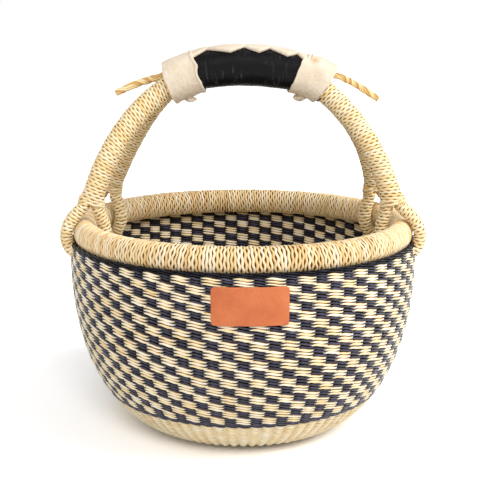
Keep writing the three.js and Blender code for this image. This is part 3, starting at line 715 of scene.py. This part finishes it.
# Folds: how high they are, and about how far apart
SLEEVE_FOLDS = (0.16 * MM, 16 * MM)
MARK_WANDER = (0.5 * MM, 30 * MM)
MARK_PATCHES = (0.5, 22 * MM)
INNER_NICKS = (0.24 * MM, 9 * MM)
OUTER_NICKS = (0.3 * MM, 8 * MM)
CREASES = (0.26 * MM, 16 * MM)
FINE_CREASES = (0.09 * MM, 4 * MM)
NUB_FOLDS = (0.3, 9 * MM)
LACE_FOLDS = (0.1 * MM, 7 * MM)
PATCH_GRAIN = (0.03 * MM, 12 * MM)
FOLD_SHRINK = 0.62  # how much smaller each finer set of folds is
FOLD_SETS = 5

MARK_PITCH = 3.1 * MM  # of the marks that the turns under the sleeve leave
MARK_DEPTH = 0.09 * MM
TONGUE_ANGLE = 1.16 * math.pi  # where under the right cuff a tongue of the sleeve sticks out
TONGUE_HALF_ANGLE = 0.15 * math.pi
TONGUE_START = 4 * MM  # how far inside the sleeve's end it starts
TONGUE_REACH = 4.6 * MM  # how far it comes out past the cuff
TONGUE_POINT = 1.2 * MM
TONGUE_SINK = 0.9 * MM
TONGUE_LIFT = 0.2 * MM  # how much higher its free end lies
TONGUE = 0.8 * MM
HEM_HEIGHT = 0.6 * MM
HEM_SLOPE = 0.15 * MM
HEM_CHANGE = 0.35  # how much its width changes round the grip, and from which angle on
HEM_TURN = 0.6
SLACK_SHARES = (-0.1, 0.6)  # where across a cuff its slack starts, and where it is full
CREASE_START = 3 * MM  # from a cuff's edge to where its creases are full
CREASE_DEPTH = 0.3 * MM  # the most that a crease goes in
CUFF_LIFT = 0.1 * MM
CUFF_LEAST = 0.15 * MM  # its thickness at its very edge
TEARS = [(-0.12, 0.34, 1), (0.2, 0.3, -0.8)]  # angle off the front, reach, and share of the tear
# The cuff's hollow has painted shade as well as its depth.
HOLLOW_RUN = 7.8 * MM  # from the cuff's inner edge to the middle of its dark hollow
HOLLOW_REACH = 5 * MM
HOLLOW_SHARE = 0.15  # its depth, as a share of the dent
HOLLOW_TURN = 0.92  # angle off the front, and how far round it reaches
HOLLOW_HALF_TURN = 0.34
RIDGES = [(0.45, 3.4 * MM, 1.15), (0.4, 5.9 * MM, 1.2)]  # share of the dent, run, and angle off the front
RIDGE_REACH = 1.2 * MM
RIDGE_HALF_TURN = 0.5
NUB_SINK = 1.5 * MM  # from the cuff's face to the middle of its tied end
NUB_TURN = 0.12  # how far it lies off the grip's underside


def edge_steps(length, edge, count):
    """Distances along a strip of leather, closer together at its two rounded edges."""
    rounding = edge * np.array([0, 0.08, 0.3, 0.6])
    middle = np.linspace(edge, length - edge, count)
    return np.concatenate([rounding, middle, length - rounding[::-1]])


def round_share(near):
    """The height of a rounded edge, where near goes from 0 at the edge to 1."""
    return np.sqrt(np.clip(1 - (1 - np.clip(near, 0, 1)) ** 2, 0, 1))


def edge_round(distance, length, edge):
    """The share of its full thickness that a strip has near its two edges."""
    return round_share(np.minimum(distance, length - distance) / edge)


def sheet_piece(name, node, slot, material, outer, inner, over=None, closed=False, tone=0.5):
    """A sheet that stands for a node, from the grids of points of its two faces. Over is where each point
    lies on the flat hide."""
    rows, columns = outer.shape[:2]
    size = rows * columns
    quads = [grid_quads(rows, columns, False, closed)]
    quads.append(quads[0][:, ::-1] + size)

    def join(edge):
        first, second = edge[:-1], edge[1:]
        quads.append(np.stack([second, first, first + size, second + size], axis=-1))

    index = np.arange(size).reshape(rows, columns)
    top, bottom = index[0], index[-1][::-1]
    if closed:
        top, bottom = np.append(top, top[0]), np.append(bottom, bottom[0])
    else:
        join(index[:, -1])
        join(index[::-1, 0])
    join(top)
    join(bottom)
    fibre = over and np.stack([vectors(*over, 0)] * 2)
    mesh_piece(name, node, slot, material, np.stack([outer, inner]), np.concatenate(quads), fibre, tone)


def grip_sheet(name, node, slot, material, distance, angle, outside, inside, **settings):
    """A sheet that bends round the grip, with its two faces so far outside the sleeve's own."""
    outer, inner = grip_points(distance, angle, outside), grip_points(distance, angle, inside)
    sheet_piece(name, node, slot, material, outer, inner, **settings)


def folds(u, v, seed, height, scale):
    """Smooth uneven folds, up and down by the height, over two coordinates in metres."""
    random = np.random.default_rng(seed)
    total = 0
    for octave in range(FOLD_SETS):
        spin = random.uniform(0, TURN)
        share = FOLD_SHRINK ** octave
        size = scale * share
        phase = random.uniform(0, TURN, 2)
        run = np.cos(spin) * u + np.sin(spin) * v
        cross = np.cos(spin) * v - np.sin(spin) * u
        sway = 1.3 * np.sin(TURN * cross / (2.3 * size) + phase[1])
        total = total + share * np.sin(TURN * run / size + phase[0] + sway)
    return height * (total / 2.2)


def make_sleeve(material):
    """The black sleeve, with the marks of the turns under it."""
    slit = math.asin((SLIT_HALF_WIDTH / GRIP_HALF_WIDTH) ** (GRIP_ROUNDNESS / 2))
    start = BACK["shift"] - LEFT["reach"] + SEAT
    length = RIGHT["reach"] - SEAT - start
    run = edge_steps(length, SLEEVE_EDGE, 230)[:, None]
    angle = np.linspace(slit, TURN - slit, 130)
    distance = start + run
    around = angle * GRIP_HALF_HEIGHT
    marks = np.sin(TURN * (distance + folds(distance, around, 3, *MARK_WANDER)) / MARK_PITCH)
    patchy = 0.5 + folds(distance, around, 4, *MARK_PATCHES)
    relief = MARK_DEPTH * marks * patchy + folds(distance, around, 5, *SLEEVE_FOLDS)
    lift = SLEEVE * edge_round(run, length, SLEEVE_EDGE)
    grip_sheet("sleeve_leather", "grip_sleeve", "black_leather", material, distance, angle,
               relief - SLEEVE + lift, -SLEEVE, over=(distance, around))


def make_tongue(material):
    """The tongue of the sleeve that sticks out under the right cuff."""
    run = np.linspace(0, 1, 20)[:, None]
    across = np.linspace(-1, 1, 30)
    start = RIGHT["reach"] - TONGUE_START
    length = RIGHT_CUFF["end"] + TONGUE_REACH - start
    distance = start + length * run - TONGUE_POINT * across ** 2 * run
    angle = TONGUE_ANGLE + TONGUE_HALF_ANGLE * across
    outside = TONGUE_LIFT * run - TONGUE_SINK
    grip_sheet("sleeve_tongue", "grip_sleeve", "black_leather", material, distance, angle,
               outside, outside - TONGUE)


def cuff_outside(cuff, angle, share):
    """How far a cuff stands off the sleeve, at a share of the way from its inner edge to its outer one."""
    slack = np.where(np.cos(angle) > 0, cuff["top_slack"], cuff["low_slack"])
    return CUFF_GAP + slack * np.cos(angle) ** 2 * smooth_share(share, *SLACK_SHARES)


def make_cuff(cuff, material):
    """A band of pale leather, cut by hand."""
    seed, hem, dent = cuff["seed"], cuff["hem"], cuff["dent"]
    angle = full_turn(150)
    around = angle * GRIP_HALF_WIDTH
    nick = folds(around, 0, seed, *INNER_NICKS)
    torn = sum(share * bump_at(angle, FRONT_ANGLE + turn, reach) for turn, reach, share in TEARS)
    first = cuff["start"] + cuff["start_lean"] * np.cos(angle) + nick + cuff["tear"] * torn
    last = cuff["end"] + cuff["end_lean"] * np.cos(angle) + folds(around, 0, seed + 1, *OUTER_NICKS)
    length = cuff["end"] - cuff["start"]
    run = edge_steps(length, CUFF_EDGE, 70)[:, None]
    distance = cuff["side"] * (first + (last - first) * run / length)
    lift = CUFF * edge_round(run, length, CUFF_EDGE)
    width = hem * (1 + HEM_CHANGE * np.sin(angle + HEM_TURN)) + nick
    fold = HEM_HEIGHT * (1 - smooth_share(run, width - HEM_SLOPE, width + HEM_SLOPE))
    fold = fold * edge_round(run, length, HEM_HEIGHT) * (hem > 0)
    creases = folds(distance, around, seed + 2, *CREASES) + folds(distance, around, seed + 3, *FINE_CREASES)
    hollow_and_shade = bump_at(run, HOLLOW_RUN, HOLLOW_REACH)
    hollow_and_shade = hollow_and_shade * bump_at(angle, FRONT_ANGLE + HOLLOW_TURN, HOLLOW_HALF_TURN)
    ridge = 0
    for share, place, turn in RIDGES:
        crest = share * dent * bump_at(run, place, RIDGE_REACH)
        ridge = ridge + crest * bump_at(angle, FRONT_ANGLE + turn, RIDGE_HALF_TURN)
    inward = smooth_share(np.minimum(run, length - run), 0, CREASE_START)
    relief = lift + fold + (np.maximum(creases, -CREASE_DEPTH) + ridge) * inward + CUFF_LIFT
    outside = np.maximum(cuff_outside(cuff, angle, run / length) - HOLLOW_SHARE * dent * hollow_and_shade, SEAT)
    # The hollow is also darkened through the tone, where the cuff has a dent: painted shade.
    tone = np.stack([0.5 - 0.5 * hollow_and_shade * (dent > 0)] * 2)
    hand = cuff["hand"]
    relief = np.maximum(relief, CUFF_LEAST)
    grip_sheet(f"cuff_leather_{hand}", f"cuff_{hand}", "pale_leather", material, distance, angle,
               outside + relief, outside, over=(distance, around), closed=True, tone=tone)


def make_nub(cuff, material):
    """The tied end of a cuff: a small crumpled lump of leather under it."""
    rows, columns = 40, 52
    tilt = np.linspace(0, math.pi, rows)[:, None]
    spin = full_turn(columns)
    shape = vectors(np.sin(tilt) * np.cos(spin), np.sin(tilt) * np.sin(spin), np.cos(tilt))
    x, y, z = np.moveaxis(10 * MM * shape, -1, 0)
    swell = 1 + folds(x + 0.4 * z, y, cuff["nub_seed"], *NUB_FOLDS)
    middle = cuff["side"] * (cuff["start"] + (cuff["end"] - cuff["start"]) * NUB_START_SHARE)
    outside = cuff_outside(cuff, math.pi, NUB_START_SHARE) + CUFF + NUB_SINK
    place = grip_points(middle + cuff["nub_shift"], math.pi + NUB_TURN, outside)
    points = place + shape * (np.asarray(cuff["nub_size"]) / 2) * swell[..., None]
    quads = grid_quads(rows, columns, False, True)
    hand = cuff["hand"]
    mesh_piece(f"cuff_tie_{hand}", f"cuff_{hand}", "pale_leather", material, points, quads)


def make_lace(material):
    """Pale lace over the slit, in wide slanting stitches that overlap."""
    for stitch, (start, end) in enumerate(zip(LACE_PLACES, LACE_PLACES[1:])):
        run = np.linspace(0, 1, 40)[:, None]
        across = np.linspace(-1, 1, 28)
        distance = start + (end - start) * (run + LACE_OVERLAP_SHARE * (2 * run - 1))
        low = np.interp(run, [0, LACE_PEAK_SHARES[stitch], 1], [0, 1, 0])
        drop = (LACE_DROPS[0] + (LACE_DROPS[1] - LACE_DROPS[0]) * low) / GRIP_HALF_HEIGHT
        y = across * GRIP_HALF_WIDTH * (1 - (1 - drop) ** GRIP_ROUNDNESS) ** (1 / GRIP_ROUNDNESS)
        angle = np.arcsin(np.clip(np.abs(y) / GRIP_HALF_WIDTH, 0, 1) ** (GRIP_ROUNDNESS / 2)) * np.sign(y)
        round_side, round_end = (1 - np.abs(across)) / 0.1, np.minimum(run, 1 - run) / 0.05
        round_edge = round_share(round_side) * round_share(round_end)
        bulge = LACE_BULGE * np.sin(math.pi * run) + folds(distance, y, 60 + stitch, *LACE_FOLDS)
        outside = SEAT + (LACE + bulge + LACE_LAYER * run) * round_edge
        grip_sheet(f"lace_stitch_{stitch + 1}", "grip_lace", "pale_leather", material, distance, angle,
                   outside, SEAT, over=(distance, y))


def along_at_height(height):
    """How far down the outside of the wall a height lies."""
    return WALL_ALONG[np.argmin(np.abs(WALL_LINE[:, 1] - height))]


def make_label(material):
    """A bare leather patch, bent to the wall, with rounded corners and a softened edge."""
    across = edge_steps(PATCH_WIDTH, PATCH_EDGE, 90) - PATCH_WIDTH / 2
    from_end = PATCH_WIDTH / 2 - np.abs(across)
    corner_run = np.clip(PATCH_CORNER - from_end, 0, PATCH_CORNER)
    corner_drop = PATCH_CORNER - np.sqrt(PATCH_CORNER ** 2 - corner_run ** 2)
    down = edge_steps(PATCH_HEIGHT, PATCH_EDGE, 48)[:, None] / PATCH_HEIGHT - 0.5
    height = PATCH_HEIGHT - 2 * corner_drop
    from_side = (0.5 - np.abs(down)) * height
    near = np.clip(np.minimum(from_end, from_side) / PATCH_EDGE, 0, 1)
    lift = PATCH * (PATCH_EDGE_SHARE + (1 - PATCH_EDGE_SHARE) * round_share(near))
    along = along_at_height(RIM_HEIGHT - PATCH_DROP) + down * height
    angle = (PATCH_SHIFT + across) / BELLY_RADIUS
    grain = folds(across, down * PATCH_HEIGHT, 9, *PATCH_GRAIN)
    outer = wall_points(along, -(SEAT + lift + grain * near), angle)
    inner = wall_points(along, -SEAT, angle)
    sheet_piece("label_leather", "label_patch", "tan_leather", material, outer, inner,
                (across, down * PATCH_HEIGHT))


# Cord tails

TAIL_STRANDS = 3  # crests on each side of a ply
TAIL_BLUNTING = 1.2 * MM  # over which a cord's end is rounded
PLY_SHARE = 1.16  # how thick a ply is, as a share of half the cord
PLY_WIDENING = 1.5  # how much wider it is than it is thick
PLY_FULLNESS = (0.88, 0.1)  # the usual, and how much it differs along the cord
CREST_SHARES = (0.82, 0.2)  # how thick a ply is between its strands, and what a strand adds
TWIST_DRIFT = 0.25  # in turns


def smooth_route(route, count):
    """Points evenly spaced on a smooth curve through a route's points."""
    corners = np.asarray(route, float) * MM
    ends = np.vstack([2 * corners[0] - corners[1], corners, 2 * corners[-1] - corners[-2]])
    points = []
    for a, b, c, d in zip(ends, ends[1:], ends[2:], ends[3:]):
        t = np.linspace(0, 1, 40, endpoint=False)[:, None]
        points.append(0.5 * (2 * b + (c - a) * t + (2 * a - 5 * b + 4 * c - d) * t ** 2
                             + (3 * b - a - 3 * c + d) * t ** 3))
    points = np.vstack(points + [corners[-1:]])
    along = distances(points)
    places = np.linspace(0, along[-1], count)
    return vectors(*(np.interp(places, along, values) for values in points.T)), along[-1]


def make_tail(tail, material):
    """Two plies twisted round each other, each of a few strands, with a blunt end."""
    path, length = smooth_route(tail["route"], 24)
    line = Line(smooth_route(tail["route"], 400)[0], (0, 0, 1))
    rings, sides = 190, 36
    along = np.linspace(0, length, rings)[:, None]
    corner = full_turn(sides)
    twist = TURN * (along / tail["twist"] + TWIST_DRIFT * noise_along(rings, 30, 8)[:, None])
    blunt = np.sqrt(1 - np.clip((along - length + TAIL_BLUNTING) / TAIL_BLUNTING, 0, 0.97) ** 2)
    ply = TAIL_DIAMETER / 4 * PLY_SHARE
    half_way = tail["swell"] * np.sin(math.pi * along / length)
    points, quads, fibre, tone, tops = [], [], [], [], []
    centre, side, rise = line.at(along)
    for number in (0, 1):
        cosine, sine = [wave(twist + math.pi * number)[..., None] for wave in (np.cos, np.sin)]
        full = PLY_FULLNESS[0] + PLY_FULLNESS[1] * noise_along(rings, 16, 20 + number)[:, None] + half_way
        swing = ((TAIL_DIAMETER / 2 - ply) * full)[..., None]
        out = side * cosine + rise * sine
        turn = rise * cosine - side * sine
        uneven = 0.4 * number + 0.5 * noise_along(rings, 40, 30)[:, None]
        crest = np.abs(np.sin(TAIL_STRANDS * corner + uneven))
        grow = ply * blunt * full * (CREST_SHARES[0] + CREST_SHARES[1] * crest)
        ring = centre + out * (swing + (grow * np.cos(corner))[..., None])
        ring = ring + turn * (PLY_WIDENING * grow * np.sin(corner))[..., None]
        faces, ends = tube_faces(rings, sides, first=number * rings * sides)
        points.append(ring)
        quads.append(faces)
        tops += ends
        fibre.append(vectors(along + 0.05 * number, ply * np.sin(corner), ply * np.cos(corner) * crest))
        tone.append(np.full(rings * sides, tail["tint"] + 0.3 * number))
    hand = tail["hand"]
    piece = mesh_piece(f"tail_rope_{hand}", f"tail_cord_{hand}", "twisted_grass", material,
                       points, quads, fibre, tone, tops)


# Materials

# Places of the colours on a ramp, from the darkest to the brightest
STRAW = (0.05, 0.33, 0.6, 0.9)
DYED = (0.05, 0.4, 0.7, 0.95)
SHADED = (0.1, 0.5, 0.9)
HIDE = (0, 0.5, 1)
BLACK = (0.1, 0.9)


class Nodes:
    """A short way to write the nodes of a material or of a world."""

    def __init__(self, owner, shader="Principled BSDF"):
        owner.use_nodes = True
        self.owner = owner
        self.tree = owner.node_tree
        self.shader = self.tree.nodes[shader]

    def add(self, kind, inputs=None, **settings):
        made = self.tree.nodes.new(kind)
        for key, value in settings.items():
            setattr(made, key, value)
        for key, value in (inputs or {}).items():
            self.put(made.inputs[key], value)
        return made

    def put(self, socket, value):
        if isinstance(value, bpy.types.NodeSocket):
            self.tree.links.new(value, socket)
        else:
            socket.default_value = value

    def noise(self, vector, factors, detail=3, roughness=0.55):
        """Clouds over a vector that is first stretched by three factors."""
        stretched = self.add("ShaderNodeVectorMath", {0: vector, 1: factors}, operation="MULTIPLY")
        made = self.add("ShaderNodeTexNoise", {
            "Vector": stretched.outputs["Vector"], "Scale": 1, "Detail": detail, "Roughness": roughness})
        return made.outputs["Fac"]

    def remap(self, value, low, high, to_low=0, to_high=1):
        made = self.add("ShaderNodeMapRange", {
            "Value": value, "From Min": low, "From Max": high, "To Min": to_low, "To Max": to_high})
        return made.outputs["Result"]

    def ramp(self, value, places, colours):
        made = self.add("ShaderNodeValToRGB", {"Fac": value})
        elements = made.color_ramp.elements
        while len(elements) < len(places):
            elements.new(0.5)
        for element, place, colour in zip(elements, places, colours):
            element.position = place
            element.color = srgb(colour)
        return made.outputs["Color"]

    def mix(self, factor, first, second):
        made = self.add("ShaderNodeMix", data_type="RGBA")
        self.put(made.inputs["Factor"], factor)
        self.put(made.inputs[6], first)
        self.put(made.inputs[7], second)
        return made.outputs[2]

    def math(self, operation, first, second):
        return self.add("ShaderNodeMath", {0: first, 1: second}, operation=operation).outputs["Value"]

    def total(self, *parts):
        """The sum of values that each count by a share."""
        values = [self.math("MULTIPLY", value, share) for value, share in parts]
        total = values[0]
        for value in values[1:]:
            total = self.math("ADD", total, value)
        return total

    def attribute(self, name, output):
        return self.add("ShaderNodeAttribute", attribute_name=name).outputs[output]

    def shown(self):
        """1 where the camera sees the place itself, reflected or through something clear, and else 0."""
        rays = self.add("ShaderNodeLightPath").outputs
        seen = self.math("MAXIMUM", rays["Is Camera Ray"], rays["Is Glossy Ray"])
        return self.math("MAXIMUM", seen, rays["Is Transmission Ray"])

    def finish(self, colour, roughness, specular, height, distance, strength):
        """Put the last values of a surface on its shader, with a fine relief from a height."""
        relief = self.add("ShaderNodeBump", {"Height": height, "Distance": distance, "Strength": strength})
        self.put(self.shader.inputs["Base Color"], colour)
        self.put(self.shader.inputs["Roughness"], roughness)
        self.put(self.shader.inputs["Specular IOR Level"], specular)
        self.put(self.shader.inputs["Normal"], relief.outputs["Normal"])
        return self.owner


def srgb(colour):
    """A colour as amounts of light, from the three numbers from 0 to 255 that a screen gives it."""
    shares = [value / 255 for value in colour]
    return (*(share / 12.92 if share < 0.04 else ((share + 0.055) / 1.055) ** 2.4 for share in shares), 1)


def grass(name, places, colours, painted_shade, crest, roughness, specular, speck, shine=(1, 1, 1)):
    """Dried grass: fine streaks along the strand, a tint for each stitch, some darker lengths, a painted
    highlight that brightens the top of each strand, and painted shade low on its sides. Crest is how high
    its top stands over them."""
    nodes = Nodes(bpy.data.materials.new(name))
    fibre = nodes.attribute("fibre", "Vector")
    streaks = nodes.noise(fibre, (90, 2600, 2600), 4, 0.6)
    lengths = nodes.noise(fibre, (60, 120, 120), 2)
    patches = nodes.noise(nodes.add("ShaderNodeTexCoord").outputs["Object"], (26, 26, 26))
    blemish = nodes.noise(fibre, (140, 700, 700), 2)
    out = nodes.add("ShaderNodeSeparateXYZ", {"Vector": fibre}).outputs["Z"]
    height = nodes.remap(nodes.math("ABSOLUTE", out, 0), 0.1 * crest, 0.85 * crest)
    # Its height over its sides brightens a strand on top: a painted highlight.
    value = nodes.total(
        (nodes.remap(streaks, 0.25, 0.75), 0.28), (nodes.attribute("tone", "Fac"), 0.28),
        (nodes.remap(lengths, 0.3, 0.7), 0.14), (nodes.remap(patches, 0.3, 0.7), 0.06), (height, 0.24))
    colour = nodes.ramp(value, places, colours)
    colour = nodes.mix(nodes.remap(blemish, 0.71, 0.78, 0, 0.7), colour, srgb(speck))
    # Low on the sides of a strand the colour turns to the painted shade.
    colour = nodes.mix(nodes.remap(height, 0, 0.75, 0.85, 0), colour, srgb(painted_shade))
    nodes.put(nodes.shader.inputs["Specular Tint"], (*shine, 1))
    rough = nodes.remap(streaks, 0.2, 0.8, roughness + 0.12, roughness - 0.1)
    return nodes.finish(colour, rough, specular, streaks, 0.22 * MM, 0.9)


def leather(name, places, colours, roughness, specular, grain, fleck_and_shade, highlight_streak=None):
    """Leather with pores and dark flecks, painted shade where its tone is low, and, if given, patches of
    paler streaks that are painted highlights.
    """
    nodes = Nodes(bpy.data.materials.new(name))
    fibre = nodes.attribute("fibre", "Vector")
    cloud = nodes.noise(fibre, (60, 60, 60), 4)
    fine = nodes.noise(fibre, (900, 900, 900))
    flecks = nodes.noise(fibre, (2200, 2200, 2200), 1)
    pores = nodes.add("ShaderNodeTexVoronoi", {"Vector": fibre, "Scale": grain}).outputs["Distance"]
    colour = nodes.ramp(nodes.remap(nodes.total((cloud, 0.7), (fine, 0.3)), 0.3, 0.7), places, colours)
    # Paler streaks across the leather, in patches: painted highlights on the ribs that the turns under it
    # leave.
    if highlight_streak:
        lines = nodes.noise(fibre, (420, 110, 1), 3, 0.6)
        highlight_patches = nodes.noise(fibre, (60, 60, 1), 2)
        factor = nodes.math("MULTIPLY", nodes.remap(lines, 0.54, 0.72), nodes.remap(highlight_patches, 0.48, 0.66))
        colour = nodes.mix(factor, colour, srgb(highlight_streak))
    # Where the tone is below a half, as in the right cuff's hollow, painted shade in the dark fleck colour.
    colour = nodes.mix(nodes.remap(nodes.attribute("tone", "Fac"), 0.5, 0), colour, srgb(fleck_and_shade))
    colour = nodes.mix(nodes.remap(flecks, 0.66, 0.76, 0, 0.5), colour, srgb(fleck_and_shade))
    rough = nodes.remap(cloud, 0.3, 0.7, roughness - 0.07, roughness + 0.08)
    return nodes.finish(colour, rough, specular, nodes.total((pores, 0.6), (fine, 1)), 0.12 * MM, 0.55)


def make_materials():
    stitch = [(214, 168, 98), (241, 214, 156), (253, 240, 204), (255, 254, 244)]
    rim = [(172, 118, 52), (218, 175, 108), (243, 216, 162), (255, 252, 240)]
    leg = [(206, 156, 80), (236, 200, 132), (249, 227, 180), (255, 245, 218)]
    cord = [(206, 158, 82), (234, 198, 126), (248, 222, 162), (255, 240, 204)]
    dyed = [(5, 4, 7), (13, 11, 18), (35, 31, 46), (114, 110, 138)]
    # The dyed grass again, darker and less shiny: painted shade for the shadow under the rim, used on the
    # upper border.
    border = [(3, 2, 5), (7, 6, 11), (18, 16, 26), (70, 66, 88)]
    # The rolls under the windings are plain grass. The rim's is dark brown and the legs' a deeper orange
    # gold than their strands: painted shade for the slits between the turns.
    core = [(96, 54, 14), (128, 78, 26), (170, 116, 50)]
    leg_core = [(236, 160, 54), (246, 180, 78), (250, 198, 104)]
    # The stakes are plain grass, but dark brown here: painted shade for where they show between the
    # stitches.
    stake = [(30, 24, 18), (50, 40, 28), (84, 66, 44)]
    black = [(4, 4, 5), (12, 12, 14)]
    pale = [(212, 192, 166), (227, 211, 189), (239, 227, 209)]
    tan = [(184, 94, 52), (202, 110, 64), (215, 127, 78)]
    # A grass has its ramp, painted shade for the sides of its strands, crest, roughness, specular, speck
    # and shine
    grasses = dict(
        natural=(STRAW, stitch, (216, 150, 70), 0.95 * MM, 0.5, 0.4, (190, 140, 78)),
        base=(STRAW, stitch, (226, 174, 104), 0.95 * MM, 0.5, 0.3, (196, 148, 88)),
        wound=(STRAW, rim, (200, 130, 50), 1.1 * MM, 0.42, 0.5, (168, 116, 56)),
        leg=(STRAW, leg, (246, 198, 108), 0.95 * MM, 0.5, 0.35, (206, 156, 88)),
        twisted=(STRAW, cord, (202, 150, 80), 0.9 * MM, 0.6, 0.25, (150, 104, 48)),
        dyed=(DYED, dyed, (3, 2, 5), 0.95 * MM, 0.3, 0.5, (92, 84, 92), (0.82, 0.8, 1)),
        border=(DYED, border, (2, 1, 3), 0.95 * MM, 0.34, 0.16, (52, 46, 56)),
        core=(SHADED, core, (130, 78, 34), 1 * MM, 0.8, 0.1, (112, 70, 32)),
        leg_core=(SHADED, leg_core, (190, 132, 60), 1 * MM, 0.8, 0.1, (150, 100, 48)),
        stake=(SHADED, stake, (40, 26, 14), 1 * MM, 0.8, 0.1, (50, 30, 16)),
    )
    # A leather has its ramp, roughness, specular, grain, colour of its flecks and painted shade, and colour
    # of its painted highlight streaks
    leathers = dict(
        black=(BLACK, black, 0.5, 0.1, 700, (26, 26, 30), (84, 84, 92)),
        pale=(HIDE, pale, 0.78, 0.3, 900, (206, 170, 128)),
        tan=(HIDE, tan, 0.55, 0.35, 1100, (160, 72, 36)),
    )
    looks = {name: grass(f"{name}_grass", *values) for name, values in grasses.items()}
    return looks | {name: leather(f"{name}_leather", *values) for name, values in leathers.items()}


# The studio

FLOOR_SIZE = 60
FLOOR_DROP = 0.3 * MM  # how far it lies below the foot
FLOOR_NEAR = (1.43, 1.43, 1.44, 1)  # its white as the camera sees it, near the basket and far away
FLOOR_FAR = (2.3, 2.3, 2.3, 1)
FLOOR_BOUNCE = (0.8, 0.78, 0.75, 1)  # what it throws back on the basket
LIGHT_AIM = (0, 0, 0.14)


def add_light(name, place, size, power):
    data = bpy.data.lights.new(name, "AREA")
    data.shape = "DISK"
    data.size = size
    data.energy = power
    aim = Vector(LIGHT_AIM) - Vector(place)
    add_object(name, data, place).rotation_euler = aim.to_track_quat("-Z", "Y").to_euler()


def make_studio():
    """A white floor and an even white sky, dimmer on the basket than they look, and two soft lights."""
    bpy.ops.mesh.primitive_plane_add(size=FLOOR_SIZE, location=(0, 0, -FLOOR_DROP))
    floor = bpy.context.object
    floor.name = "floor"
    nodes = Nodes(bpy.data.materials.new("floor_white"))
    place = nodes.add("ShaderNodeTexCoord").outputs["Object"]
    away = nodes.add("ShaderNodeVectorMath", {0: place}, operation="LENGTH").outputs["Value"]
    white = nodes.mix(nodes.remap(away, 0.2, 0.6), FLOOR_NEAR, FLOOR_FAR)
    cloth = nodes.add("ShaderNodeBsdfDiffuse", {"Color": nodes.mix(nodes.shown(), FLOOR_BOUNCE, white)})
    nodes.put(nodes.tree.nodes["Material Output"].inputs["Surface"], cloth.outputs["BSDF"])
    floor.data.materials.append(nodes.owner)
    world = bpy.data.worlds.new("studio")
    bpy.context.scene.world = world
    sky = Nodes(world, "Background")
    sky.put(sky.shader.inputs["Strength"], sky.remap(sky.shown(), 0, 1, 0.55, 1))
    sky.put(sky.shader.inputs["Color"], (1, 1, 1, 1))
    add_light("key", place=(1.1, -0.35, 1), size=0.9, power=13.5)
    add_light("fill", place=(0, -1.3, 1.15), size=0.8, power=11)


# The basket

make_camera()
LOOK = make_materials()
make_tail(LEFT_TAIL, LOOK["twisted"])
make_tail(RIGHT_TAIL, LOOK["twisted"])

make_stakes(LOOK["stake"])
make_checks(LOOK["natural"], LOOK["dyed"])
# The upper border has the darker copy of the dyed grass, painted shade under the rim.
make_border("upper_border", 0, UPPER_BORDER, LOOK["border"], seed=31)
make_border("lower_border", LOWER_START, LOWER_BORDER, LOOK["dyed"], seed=32)
make_base(LOOK["base"])
make_rim((LOOK["wound"], LOOK["core"]))

make_handle((LOOK["leg"], LOOK["leg_core"]))
make_core(FRONT, -1, LOOK["leg_core"])
make_core(BACK, 1, LOOK["leg_core"])
make_sleeve(LOOK["black"])
make_tongue(LOOK["black"])
for cuff in (LEFT_CUFF, RIGHT_CUFF):
    make_cuff(cuff, LOOK["pale"])
for cuff in (LEFT_CUFF, RIGHT_CUFF):
    make_nub(cuff, LOOK["pale"])
make_lace(LOOK["pale"])
make_label(LOOK["tan"])
make_studio()

bpy.context.scene.view_settings.view_transform = "Standard"
